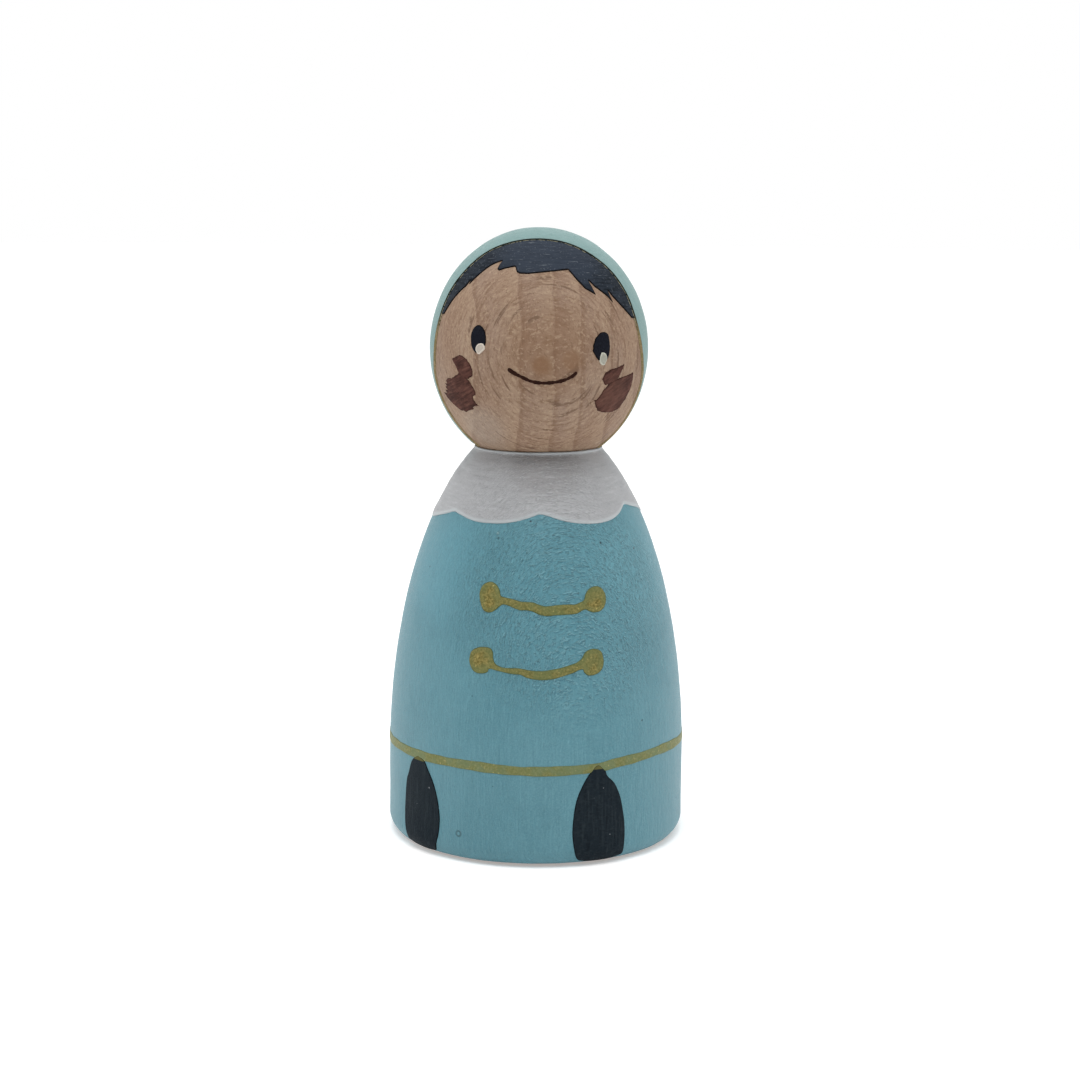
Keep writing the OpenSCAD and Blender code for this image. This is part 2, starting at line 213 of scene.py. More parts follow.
def even(points, spacing, closed=False):
    """The same line with points at an even spacing, its corners kept."""
    p = np.asarray(points, float)
    nxt = np.roll(p, -1, 0) if closed else p[1:]
    start = p if closed else p[:-1]
    count = np.maximum(np.ceil(np.linalg.norm(nxt - start, axis=1) / spacing).astype(int), 1)
    share = np.concatenate([np.arange(n) / n for n in count])[:, None]
    line = np.repeat(start, count, 0) * (1 - share) + np.repeat(nxt, count, 0) * share
    return line if closed else np.concatenate([line, p[-1:]])


def between(x, table):
    """Smooth values between the given pairs of a table."""
    return np.interp(x, *drawn(table, 12).T)


WAVES, WAVES_SIZE = 9, 4


def ripple(points, waves_per_mm, seed, stretch=(1, 1, 1)):
    """Smooth random relief from about -1 to 1: sine waves that run through space in seeded
    directions, added up and divided by their usual sum. They are 0.6 to 1.5 times as many in a
    millimetre as asked."""
    rng = np.random.default_rng(seed)
    ways = rng.normal(size=(WAVES, 3))
    length = np.linalg.norm(ways, axis=1)[:, None]
    ways *= (rng.uniform(0.6, 1.5, (WAVES, 1)) * 2 * math.pi * waves_per_mm) / length
    turns = rng.uniform(0, 2 * math.pi, WAVES)
    return np.sin((points * np.array(stretch)) @ ways.T + turns).sum(-1) / WAVES_SIZE


# Degrees that the rays face to the doll's left at a height of the head, and their turn in a millimetre
RAY_DEGREES, RAY_TWIST, RAY_HEIGHT = 6.3, 0.32, 57


def grain_of(points):
    """Place in the tree, in millimetres: across the rings, across the rays, and along the trunk.

    The rays face the front, a little to the doll's left, and turn slowly with the height."""
    turned = np.radians(RAY_DEGREES + RAY_TWIST * (RAY_HEIGHT - points[:, 2]))
    s, c = np.sin(turned), np.cos(turned)
    x, y, z = points.T
    return np.stack([x * c + y * s, x * s - y * c, z], -1)


# Meshes

def add_piece(name, points, faces, node, slot, finish, **values):
    """Writes points in millimetres and their faces to a closed mesh, ties it to the frame, and keeps
    the given values at its points. The sum of the corners' triple products is six times the volume,
    so the faces point outwards when it is above 0."""
    mesh = bpy.data.meshes.new(name)
    mesh.from_pydata((points * MM).tolist(), [], faces)
    mesh.calc_loop_triangles()
    corners = np.zeros(len(mesh.loop_triangles) * 3, np.int32)
    mesh.loop_triangles.foreach_get("vertices", corners)
    a, b, c = points[corners.reshape(-1, 3)].transpose(1, 0, 2)
    if np.einsum("ij,ij->", a, np.cross(b, c)) < 0:
        mesh.flip_normals()
    values["grain"] = grain_of(points)
    for key, value in values.items():
        kind, field = ("FLOAT_VECTOR", "vector") if value.ndim == 2 else ("FLOAT", "value")
        mesh.attributes.new(key, kind, "POINT").data.foreach_set(field, value.astype(np.float32).ravel())
    mesh.shade_smooth()
    mesh.materials.append(FINISHES[finish])
    piece = bpy.data.objects.new(name, mesh)
    bpy.context.scene.collection.objects.link(piece)
    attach(piece, "root")
    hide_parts(node)


def grid_faces(rows, columns, wrap_rows=False):
    """Four-cornered faces between neighbours on a grid of points that is closed in its columns."""
    i = np.arange(rows if wrap_rows else rows - 1)[:, None]
    j = np.arange(columns)[None, :]
    i2, j2 = (i + 1) % rows, (j + 1) % columns
    corner = [a * columns + b for a, b in ((i, j), (i, j2), (i2, j2), (i2, j))]
    return np.stack(np.broadcast_arrays(*corner), -1).reshape(-1, 4).tolist()


def ball_mesh(rows, first, last):
    """A grid that is closed all round in its columns, with one point closing each end."""
    n, m = rows.shape[:2]
    points = np.concatenate([rows.reshape(-1, 3), [first, last]])
    j = np.arange(m)
    k = (j + 1) % m
    start = np.stack([k, j, j * 0 + n * m], -1)
    end = np.stack([(n - 1) * m + j, (n - 1) * m + k, j * 0 + n * m + 1], -1)
    return points, grid_faces(n, m) + start.tolist() + end.tolist()


# The most distances that are worked out at once, and a length that stands for none
BLOCK, TINY = 2000000, 1e-12


def distance_to(points, loop):
    """Distance from each point to a closed line, and whether it lies inside.

    The distance is the least one to any of its straight bits; a point is inside when a level ray
    from it crosses the line an odd number of times."""
    a, b = loop, np.roll(loop, -1, 0)
    ab = b - a
    length = np.maximum((ab**2).sum(1), TINY)
    near = np.full(len(points), np.inf)
    crossed = np.zeros(len(points), int)
    for part in np.array_split(np.arange(len(points)), max(1, len(points) * len(loop) // BLOCK)):
        p = points[part][:, None]
        t = np.clip(((p - a) * ab).sum(-1) / length, 0, 1)
        near[part] = np.linalg.norm(p - a - ab * t[..., None], axis=-1).min(1)
        over = (a[:, 1] > p[..., 1]) != (b[:, 1] > p[..., 1])
        rise = np.where(b[:, 1] == a[:, 1], 1, b[:, 1] - a[:, 1])
        x = a[:, 0] + ab[:, 0] * (p[..., 1] - a[:, 1]) / rise
        crossed[part] = (over & (p[..., 0] < x)).sum(1)
    return near, crossed % 2 == 1


# Rows of a net stand this share of its spacing apart. Points nearer than these shares are left out
ROW_SHARE, RING_SHARE, NET_SHARE = 0.87, 0.93, 0.6


def painted_shape(loop, spacing, rim):
    """Triangles inside a drawn line: its own points, rings of points at the rim's distances inside
    it, and a net of points in rows in the rest. Gives the points and the faces."""
    side = np.roll(loop, -1, 0) - np.roll(loop, 1, 0)
    size = np.maximum(np.linalg.norm(side, axis=1), TINY)[:, None]
    normal = np.stack([-side[:, 1], side[:, 0]], -1) / size
    rings = []
    for deep in rim:
        for way in (1, -1):
            ring = loop + normal * deep * way
            near, inside = distance_to(ring, loop)
            rings.append(ring[inside & (near > RING_SHARE * deep)])
    low, high = loop.min(0), loop.max(0)
    across, up = np.arange(low[0], high[0], spacing), np.arange(low[1], high[1], spacing * ROW_SHARE)
    x, y = np.meshgrid(across, up)
    x = x + (np.arange(len(x)) % 2)[:, None] * spacing / 2
    net = np.stack([x.ravel(), y.ravel()], -1)
    near, inside = distance_to(net, loop)
    net = net[inside & (near > rim[-1] + NET_SHARE * spacing)]
    points = np.concatenate([loop, *rings, net])
    count = len(loop)
    edges = [(i, (i + 1) % count) for i in range(count)]
    flat, _, faces, *_ = delaunay_2d_cdt(points.tolist(), edges, [], 1, 1e-5)
    flat = np.array([tuple(p) for p in flat])
    return flat, np.array(faces)


def film(outlines, place, spacing, rim, lift_of):
    """A closed skin of paint over drawn lines: the upper sheet rises from its border by a rounded
    edge, the lower sheet lies just inside what carries it, and both share the border's points."""
    points, faces, depth, start = [], [], [], 0
    for k, loop in enumerate(outlines):
        flat, triangles = painted_shape(loop, spacing, rim)
        sides = np.sort(np.concatenate([triangles[:, [0, 1]], triangles[:, [1, 2]], triangles[:, [2, 0]]]), 1)
        sides, count = np.unique(sides, axis=0, return_counts=True)
        border = np.zeros(len(flat), bool)
        border[sides[count == 1]] = True
        near = distance_to(flat, loop)[0]
        near[border] = 0
        upper = place(flat, lift_of(near, flat, k))
        inner = np.flatnonzero(~border)
        lower = place(flat[inner], np.full(len(inner), -2 * SUNK))
        other = np.arange(len(flat))
        other[inner] = len(flat) + np.arange(len(inner))
        points += [upper, lower]
        faces += (triangles + start).tolist() + (other[triangles][:, ::-1] + start).tolist()
        depth += [near, near[inner]]
        start += len(flat) + len(inner)
    return np.concatenate(points), faces, np.concatenate(depth)


def rounded(near, width):
    """From 0 at an edge to 1 at a width inside it, as a quarter circle."""
    return np.sqrt(np.clip(1 - (1 - np.clip(near / width, 0, 1)) ** 2, 0, 1))


def hump(value, middle, width):
    """1 in the middle, falling off to both sides: e to minus the square of the distance in widths."""
    return np.exp(-(((value - middle) / width) ** 2))


# Finishes

SCREEN = 255
TOE, TOE_SLOPE, BEND, POWER = 0.04045, 12.92, 0.055, 2.4


def linear(colour):
    """A colour given as 0 to 255 for a screen, as light: straight near black, and a power above."""
    c = np.array(colour, float) / SCREEN
    return (*np.where(c < TOE, c / TOE_SLOPE, ((c + BEND) / (1 + BEND)) ** POWER), 1.0)


class Net:
    """A net of nodes under construction."""

    def __init__(self, tree):
        self.tree = tree

    def node(self, kind, **settings):
        """A new node of a kind, with its settings."""
        made = self.tree.nodes.new("ShaderNode" + kind)
        for key, value in settings.items():
            setattr(made, key, value)
        return made

    def feed(self, socket, value):
        """Links an output to a socket, or sets a constant on it."""
        if isinstance(value, bpy.types.NodeSocket):
            self.tree.links.new(value, socket)
        else:
            socket.default_value = value

    def calc(self, operation, *values):
        """The result of one operation of arithmetic."""
        made = self.node("Math", operation=operation)
        for socket, value in zip(made.inputs, values):
            self.feed(socket, value)
        return made.outputs[0]

    def times(self, a, b):
        """The product of two values."""
        return self.calc("MULTIPLY", a, b)

    def ramp(self, value, low, high, to_low=0.0, to_high=1.0, kind="SMOOTHSTEP"):
        """From one number to another while a value goes from low to high, eased at both ends or straight."""
        made = self.node("MapRange", interpolation_type=kind)
        keys = ("Value", "From Min", "From Max", "To Min", "To Max")
        for key, number in zip(keys, (value, low, high, to_low, to_high)):
            self.feed(made.inputs[key], number)
        return made.outputs[0]

    def shown_rays(self):
        """1 for the rays that show the background: those of the camera, reflections and glass."""
        path = self.node("LightPath").outputs
        total = path["Is Camera Ray"]
        for kind in ("Is Glossy Ray", "Is Transmission Ray"):
            total = self.calc("MAXIMUM", total, path[kind])
        return total


class Finish(Net):
    """A material under construction. Its methods give the outputs of the nodes that they add."""

    def __init__(self, name, roughness, specular=0.4, **sockets):
        self.material = bpy.data.materials.new(name)
        self.material.use_nodes = True
        super().__init__(self.material.node_tree)
        self.shader = self.tree.nodes["Principled BSDF"]
        self.shader.inputs["Roughness"].default_value = roughness
        self.shader.inputs["Specular IOR Level"].default_value = specular
        for socket, value in sockets.items():
            self.shader.inputs[socket].default_value = value

    def read(self, name):
        """A value that the mesh carries at its points."""
        made = self.node("Attribute", attribute_name=name)
        return made.outputs["Fac" if name in ("edge", "tone") else "Vector"]

    def place(self):
        """The place on the doll, in millimetres."""
        made = self.node("VectorMath", operation="SCALE")
        self.feed(made.inputs[0], self.node("TexCoord").outputs["Object"])
        made.inputs["Scale"].default_value = 1 / MM
        return made.outputs[0]

    def stretched(self, vector, by, start=(0, 0, 0)):
        """A place times a share along each axis, from another start."""
        made = self.node("Mapping")
        self.feed(made.inputs["Vector"], vector)
        made.inputs["Scale"].default_value = by
        made.inputs["Location"].default_value = start
        return made.outputs[0]

    def turned(self, vector, degrees, axis=0):
        """A place turned about an axis."""
        made = self.node("Mapping")
        self.feed(made.inputs["Vector"], vector)
        made.inputs["Rotation"].default_value[axis] = math.radians(degrees)
        return made.outputs[0]

    def noise(self, vector, detail=3, rough=0.55, bend=0):
        """Smooth random values at a place, with finer ones added by the detail and the roughness."""
        made = self.node("TexNoise")
        values = {"Vector": vector, "Scale": 1, "Detail": detail, "Roughness": rough, "Distortion": bend}
        for key, value in values.items():
            self.feed(made.inputs[key], value)
        return made.outputs[0]

    def tint(self, share, a, b):
        """From colour a to colour b by a share."""
        made = self.node("Mix", data_type="RGBA")
        self.feed(made.inputs[0], share)
        for socket, colour in ((made.inputs[6], a), (made.inputs[7], b)):
            self.feed(socket, linear(colour) if isinstance(colour, tuple) else colour)
        return made.outputs[2]

    def bands(self, value, stops):
        """A grey value along a line of given stops."""
        made = self.node("ValToRGB")
        self.feed(made.inputs[0], value)
        marks = made.color_ramp.elements
        for mark, (at, grey) in zip([marks[0], marks[1], *(marks.new(0.5) for _ in stops[2:])], stops):
            mark.color = (grey, grey, grey, 1)
            mark.position = at
        return made.outputs[0]

    def relief(self, *layers):
        """Bumps laid over each other, each as (height, depth in millimetres)."""
        normal = None
        for height, deep in layers:
            made = self.node("Bump")
            made.inputs["Strength"].default_value = 1
            made.inputs["Distance"].default_value = deep * MM
            self.feed(made.inputs["Height"], height)
            if normal:
                self.feed(made.inputs["Normal"], normal)
            normal = made.outputs[0]
        return normal

    def spot(self, pixel, size, ring=0.0):
        """1 inside a small round mark at a pixel of the photograph, or on a ring of a set radius: the
        distance from there, less the ring's radius, falls under a share of the mark's size."""
        made = self.node("VectorMath", operation="DISTANCE")
        self.feed(made.inputs[0], self.place())
        made.inputs[1].default_value = seen([pixel])[0]
        off = self.calc("ABSOLUTE", self.calc("SUBTRACT", made.outputs["Value"], ring))
        return self.ramp(off, size, size * SPOT_CORE)

    def with_spots_and_painted_light(self, colour, spots_and_painted_light):
        """A colour with soft round patches of another tone, each as (pixel, size in millimetres, share,
        tone): spots in the wood, and patches of painted light and painted shade.
        """
        for pixel, size, share, tone in spots_and_painted_light:
            colour = self.tint(self.times(self.spot(pixel, size), share), colour, tone)
        return colour

    def done(self, colour, roughness=None, normal=None):
        """Ties colour, roughness and normal to the shader, and gives the material."""
        self.feed(self.shader.inputs["Base Color"], colour)
        if roughness is not None:
            self.feed(self.shader.inputs["Roughness"], roughness)
        if normal is not None:
            self.feed(self.shader.inputs["Normal"], normal)
        return self.material

    def rays(self):
        """The rays of the wood: thin across, long along the trunk and longer along the ray."""
        return self.noise(self.stretched(self.read("grain"), (0.4, 5.0, 0.85)), 4, 0.6, 0.4)


# A spot is full inside this share of its size
SPOT_CORE = 0.4

# Where the ring lines cross the doll, in millimetres from its right to its left
RING_LINES = (-17.3, -12.9, -8.2, -3.4, 0.35, 3.35, 6.9, 10.4, 14.1)

# A width that holds them all, the direction across them, and the tones before, on and after each
RING_SPAN, RING_LEAN = 36, (0.994, 0.11, 0)
RING_TONES = ((-0.1, 0.95), (0.06, 0.0), (0.8, 0.5))

# Soft round patches, each with its pixel, size in millimetres, share and tone: a broad darker brown one round
# the middle of the face, a paler one low on the face, and two small brown spots in the wood by the nose
BROWN = (135, 103, 78)
WOOD_PATCHES = (((552, 350), 7, 0.42, BROWN), ((483, 428), 4.2, 0.5, (163, 150, 137)))
NOSE_STAINS = (((541.5, 365.5), 1.5, 0.85, BROWN), ((572, 361), 1.6, 0.6, BROWN))


def bare_wood():
    """Sanded beech: ring lines, ray flecks, pores and soft patches, all in the tree's own directions.

    A ring line is a plane that leans a little and wanders. Each other figure is a noise stretched
    along the grain, and it tints where its value is high or low."""
    f = Finish("bare_wood", 0.62, 0.08)
    grain = f.read("grain")
    lean = f.node("VectorMath", operation="DOT_PRODUCT")
    f.feed(lean.inputs[0], f.place())
    lean.inputs[1].default_value = RING_LEAN
    wander = f.noise(f.stretched(grain, (0.05, 0.05, 0.2)), 1)
    ring_place = f.calc("ADD", lean.outputs["Value"], f.ramp(wander, 0.3, 0.7, -0.2, 0.2))
    stops = [((line + shift) / RING_SPAN + 0.5, tone) for line in RING_LINES for shift, tone in RING_TONES]
    ring = f.bands(f.calc("MULTIPLY_ADD", ring_place, 1 / RING_SPAN, 0.5), stops)
    rays = f.rays()
    arcs = f.noise(f.stretched(grain, (0.36, 2.8, 0.55), (4, 1, 8)), 2, 0.6, 0.8)
    slits = f.noise(f.stretched(grain, (0.2, 4.2, 0.22), (1, 5, 2)), 1, 0.4)
    masks = f.ramp(f.noise(f.stretched(grain, (0.35, 0.35, 0.3), (7, 2, 5)), 2), 0.44, 0.56)
    specks = f.noise(f.stretched(grain, (2.0, 5.2, 3.0), (3, 7, 1)), 2, 0.6)
    pores = f.noise(f.stretched(grain, (7, 5, 1.6), (9, 2, 4)), 2, 0.6)
    patches = f.noise(f.stretched(grain, (0.16, 0.2, 0.1)), 2)
    dark = f.ramp(rays, 0.5, 0.36)
    colour = f.tint(f.ramp(patches, 0.32, 0.68), (156, 133, 116), (149, 123, 104))
    colour = f.tint(f.ramp(ring, 0.5, 1, 0, 0.42), colour, (178, 153, 128))
    colour = f.tint(f.ramp(ring, 0.5, 0, 0, 0.45), colour, (125, 97, 77))
    colour = f.tint(f.ramp(rays, 0.52, 0.68, 0, 0.4), colour, (178, 154, 131))
    colour = f.tint(f.ramp(dark, 0, 1, 0, 0.4), colour, (124, 97, 77))
    colour = f.tint(f.ramp(arcs, 0.55, 0.65, 0, 0.24), colour, (128, 98, 75))
    colour = f.with_spots_and_painted_light(colour, WOOD_PATCHES)
    colour = f.tint(f.ramp(pores, 0.56, 0.68, 0, 0.45), colour, (114, 88, 70))
    colour = f.tint(f.times(f.ramp(slits, 0.635, 0.69, 0, 0.6), masks), colour, (96, 72, 58))
    colour = f.tint(f.ramp(specks, 0.45, 0.34, 0, 0.22), colour, (122, 95, 75))
    colour = f.tint(f.ramp(specks, 0.55, 0.67, 0, 0.42), colour, (190, 166, 140))
    colour = f.with_spots_and_painted_light(colour, NOSE_STAINS)
    fine = f.noise(f.stretched(grain, (9, 9, 4)), 4)
    normal = f.relief((rays, 0.08), (specks, 0.08), (pores, -0.04), (fine, 0.015))
    return f.done(colour, f.ramp(arcs, 0.5, 0.7, 0.66, 0.5), normal)


# Raised grain under paint: its stretch, its start, the start of the painted shade just below each ridge, and
# its strength. Each ridge is lighter, a painted highlight
RAISED_GRAIN = (
    ((1.1, 12, 2.3), (5, 3, 2), (5, 2.4, 2.45), 1), ((1.7, 19, 3.6), (2, 8, 6), (2, 7.4, 6.45), 1.2),
)
MARK_SHARE = 0.85


def brushed_paint(
    name, colours, streak, roughness=0.5, specular=0.3, wood=0.03, shows=0.4, strokes=0.35,
    edge_colour=None, edge_w=0.2, marks=(), tip=None, streak_turn=0.0, lively=None, spots_and_painted_light=(),
):
    """Satin paint over wood: a main, a light and a dark tone in soft patches and brush streaks, with the
    rays of the wood and raised grain showing through as relief and tone, and fine pits. The raised
    grain's tone is a painted highlight on each ridge and a painted shade just below it.

    It may have broad soft patches of painted light and painted shade, a part where the grain is
    livelier, a line of another tone along its edge, small marks, each with its pixel, size, ring
    radius, colour and height, and a tip where another tone shows."""
    f = Finish(name, roughness, specular)
    place, rays, grain = f.place(), f.rays(), f.read("grain")
    streaks = f.noise(f.stretched(f.turned(place, streak_turn) if streak_turn else place, streak), 4, 0.6)
    patches = f.noise(f.stretched(place, (0.12, 0.12, 0.12)), 2)
    fine = f.noise(f.stretched(place, (6, 6, 6)), 4, 0.6)
    main, light, dark = colours
    colour = f.tint(f.ramp(patches, 0.35, 0.65), main, f.tint(0.15, main, light))
    # Broad patches of painted light and painted shade, where they are given
    colour = f.with_spots_and_painted_light(colour, spots_and_painted_light)
    colour = f.tint(f.ramp(streaks, 0.5, 0.72, 0, strokes), colour, light)
    colour = f.tint(f.ramp(streaks, 0.46, 0.28, 0, strokes), colour, dark)
    colour = f.tint(f.ramp(rays, 0.56, 0.68, 0, shows * 0.25), colour, light)
    colour = f.tint(f.ramp(rays, 0.44, 0.32, 0, shows * 0.25), colour, dark)
    much = f.ramp(f.spot(*lively), 0, 1, 0.2, 1.3) if lively else 1.0
    layers = [(rays, wood), (streaks, wood * 0.5), (fine, 0.012)]
    for size, start, below, strong in RAISED_GRAIN:
        noises = [f.noise(f.stretched(grain, size, at), 1, 0.5, 0.3) for at in (start, below)]
        # Lighter on each ridge and darker just below it: painted highlight and painted shade for light from
        # above, over the ridge's real relief
        ridge, painted_shade_below = (f.times(f.ramp(noise, 0.585, 0.65, 0, shows * strong), much) for noise in noises)
        colour = f.tint(ridge, f.tint(painted_shade_below, colour, dark), light)
        layers.append((ridge, wood))
    colour = f.tint(f.ramp(fine, 0.5, 0.68, 0, shows * 0.5), colour, light)
    colour = f.tint(f.ramp(fine, 0.5, 0.32, 0, shows * 0.5), colour, dark)
    if edge_colour:
        colour = f.tint(f.ramp(f.read("edge"), edge_w, edge_w * 0.3), colour, edge_colour)
    for pixel, size, ring, tone, high in marks:
        spot = f.spot(pixel, size, ring)
        colour = f.tint(f.times(spot, MARK_SHARE), colour, tone)
        layers.append((spot, high))
    if tip:
        shown = f.times(f.ramp(f.read("tone"), 0, 0.1), f.ramp(f.read("edge"), 0.07, 0.13))
        colour = f.tint(shown, colour, tip)
    rough = f.ramp(fine, 0.3, 0.7, roughness - 0.07, roughness + 0.07)
    return f.done(colour, rough, f.relief(*layers))


# A lighter patch on the top of the hair: a painted highlight where light falls from above
HAIR_TOP_HIGHLIGHT = (((548, 252), 8, 0.55, (62, 70, 83)),)


def scuffed_hair():
    """Dark satin paint with horizontal brush lines, pale scuffs and specks, a black border, and a lighter
    patch on its top that is a painted highlight.
    """
    f = Finish("hair_paint", 0.5, 0.03)
    place = f.place()
    lines = f.noise(f.stretched(place, (0.5, 0.5, 4.4)), 4, 0.65)
    scuffs = f.noise(f.stretched(place, (0.55, 0.55, 8.5), (2, 6, 4)), 2, 0.5)
    worn = f.noise(f.stretched(place, (0.4, 0.4, 0.4), (5, 1, 3)), 2)
    specks = f.noise(f.stretched(place, (4.5, 4.5, 4.5)), 2, 0.5)
    colour = f.tint(f.ramp(lines, 0.35, 0.65), (24, 30, 37), (45, 52, 61))
    colour = f.with_spots_and_painted_light(colour, HAIR_TOP_HIGHLIGHT)
    colour = f.tint(f.ramp(specks, 0.62, 0.7, 0, 0.6), colour, (96, 102, 110))
    rubbed = f.times(f.ramp(scuffs, 0.64, 0.74), f.ramp(worn, 0.5, 0.62))
    colour = f.tint(f.times(rubbed, 0.75), colour, (126, 132, 138))
    colour = f.tint(f.ramp(f.read("edge"), 0.24, 0.08), colour, (12, 11, 13))
    relief = f.relief((lines, 0.05), (scuffs, 0.04), (specks, 0.03))
    return f.done(colour, f.ramp(rubbed, 0, 1, 0.42, 0.6), relief)


def drawn_line():
    """The hood's edge line. Beside the hair it is dark with broken cream on the side away from the
    hood, and beside the bare wood it is olive with gold. Its place across and its share of hair are
    read from the mesh."""
    f = Finish("trim_paint", 0.5, 0.08)
    split = f.node("SeparateXYZ")
    f.feed(split.inputs[0], f.read("line"))
    across, beside_hair = split.outputs[1], split.outputs[2]
    breaks = f.noise(f.stretched(f.place(), (1.9, 1.9, 1.9)), 3, 0.75)
    off = f.calc("ABSOLUTE", f.calc("SUBTRACT", across, 0.86))
    cream = f.times(f.ramp(off, 0.12, 0.06), f.ramp(breaks, 0.42, 0.52))
    on_hair = f.tint(cream, (20, 28, 24), (184, 176, 142))
    inner = f.tint(f.ramp(breaks, 0.4, 0.6), (122, 110, 74), (150, 130, 98))
    on_wood = f.tint(f.ramp(across, -0.5, 0.1), (62, 66, 42), inner)
    return f.done(f.tint(beside_hair, on_wood, on_hair), 0.5, f.relief((breaks, 0.03)))


def gold(name, tones, shine, outline, thinner):
    """Granular gold paint, thin where it is worn and by a share along its border, with bright grains
    and by another share an olive outline."""
    f = Finish(name, 0.5, 0.15, Metallic=shine)
    place = f.place()
    grains = f.noise(f.stretched(place, (4.2, 4.2, 4.2)), 3, 0.7)
    worn = f.noise(f.stretched(place, (0.5, 0.5, 0.5)), 2)
    low, high, thin = tones
    colour = f.tint(f.ramp(grains, 0.36, 0.64), low, high)
    colour = f.tint(f.ramp(worn, 0.42, 0.6, 0, 0.45), colour, thin)
    colour = f.tint(f.ramp(f.read("edge"), 0.75, 0.45, 0, thinner), colour, thin)
    colour = f.tint(f.ramp(grains, 0.64, 0.72), colour, (196, 182, 114))
    colour = f.tint(f.ramp(f.read("edge"), 0.15, 0.03, 0, outline), colour, (66, 86, 58))
    return f.done(colour, f.ramp(grains, 0.3, 0.7, 0.6, 0.4), f.relief((grains, 0.05)))


# A paler round patch on the lower stroke of the doll's left cheek
CHEEK_PALE_PATCH = (((612, 395), 3, 0.35, (112, 80, 69)),)


def dry_cheek():
    """Thin red-brown paint from a dry brush: dark and light bristle lines that run up to the doll's
    left, patches of two browns, and a darker border."""
    f = Finish("cheek_paint", 0.62, 0.05)
    place = f.place()
    bristles = f.noise(f.stretched(f.turned(place, 32, axis=1), (0.6, 0.6, 4.2)), 3, 0.65)
    blots = f.noise(f.stretched(place, (0.9, 0.9, 0.9)), 3, 0.6)
    colour = f.tint(f.ramp(blots, 0.38, 0.62), (87, 57, 50), (70, 45, 39))
    colour = f.tint(f.ramp(bristles, 0.52, 0.66, 0, 0.6), colour, (112, 78, 67))
    colour = f.tint(f.ramp(bristles, 0.48, 0.34, 0, 0.75), colour, (48, 28, 24))
    colour = f.with_spots_and_painted_light(colour, CHEEK_PALE_PATCH)
    colour = f.tint(f.ramp(f.read("edge"), 0.2, 0.05, 0, 0.6), colour, (56, 32, 27))
    return f.done(colour, 0.62, f.relief((bristles, 0.05), (blots, 0.03)))


# Small marks: pixel, size, ring radius, tone and height, with all lengths in millimetres
PALE, BLACK, BLUE = (170, 176, 180), (30, 48, 54), (48, 88, 98)
COAT_MARKS = (
    ((498, 533.2), 0.22, 0, (150, 196, 204), 0.12), ((498.6, 538.2), 0.2, 0, BLUE, -0.06),
    ((458.5, 833.5), 0.14, 0.3, (62, 104, 112), -0.06), ((430, 566.5), 0.13, 0, BLACK, -0.04),
    ((558.7, 574.3), 0.12, 0, BLUE, -0.04), ((600.6, 542.8), 0.17, 0, BLACK, -0.05),
    ((633.4, 548.4), 0.15, 0, BLACK, -0.05), ((642, 720.2), 0.15, 0, BLACK, -0.05),
    ((472.2, 696), 0.1, 0, BLUE, -0.04), ((530.6, 521.4), 0.15, 0, BLACK, -0.04),
    ((492.9, 786.4), 0.1, 0, (40, 78, 86), -0.04), ((676, 797), 0.14, 0, BLACK, -0.04),
)
COLLAR_MARKS = (((617.6, 505), 0.13, 0, BLACK, -0.04), ((611.3, 513.2), 0.12, 0, BLACK, -0.04))
BOOT_MARKS = tuple(
    (pixel, size, 0, PALE, 0.04) for pixel, size in (
        ((429.6, 787.6), 0.14), ((417.5, 803.4), 0.1), ((603.3, 787.8), 0.11), ((593.9, 797.9), 0.1),
        ((609.6, 834), 0.12), ((413.5, 812), 0.08), ((611, 806.8), 0.09), ((616, 808), 0.08),
    )
)

# Broad soft patches: painted light on the coat's shoulders just under the collar, and painted shade on the
# collar under the head. Then the middle and radius of the parts where the raised grain is livelier
COAT_PAINTED_LIGHT = (((640, 562), 9, 0.3, (112, 173, 186)), ((440, 565), 8, 0.22, (104, 171, 188)))
COLLAR_PAINTED_SHADE = (((546, 467), 5.5, 0.5, (140, 136, 136)),)
COAT_LIVELY, COLLAR_LIVELY = ((572, 600), 17), ((532, 503), 12)

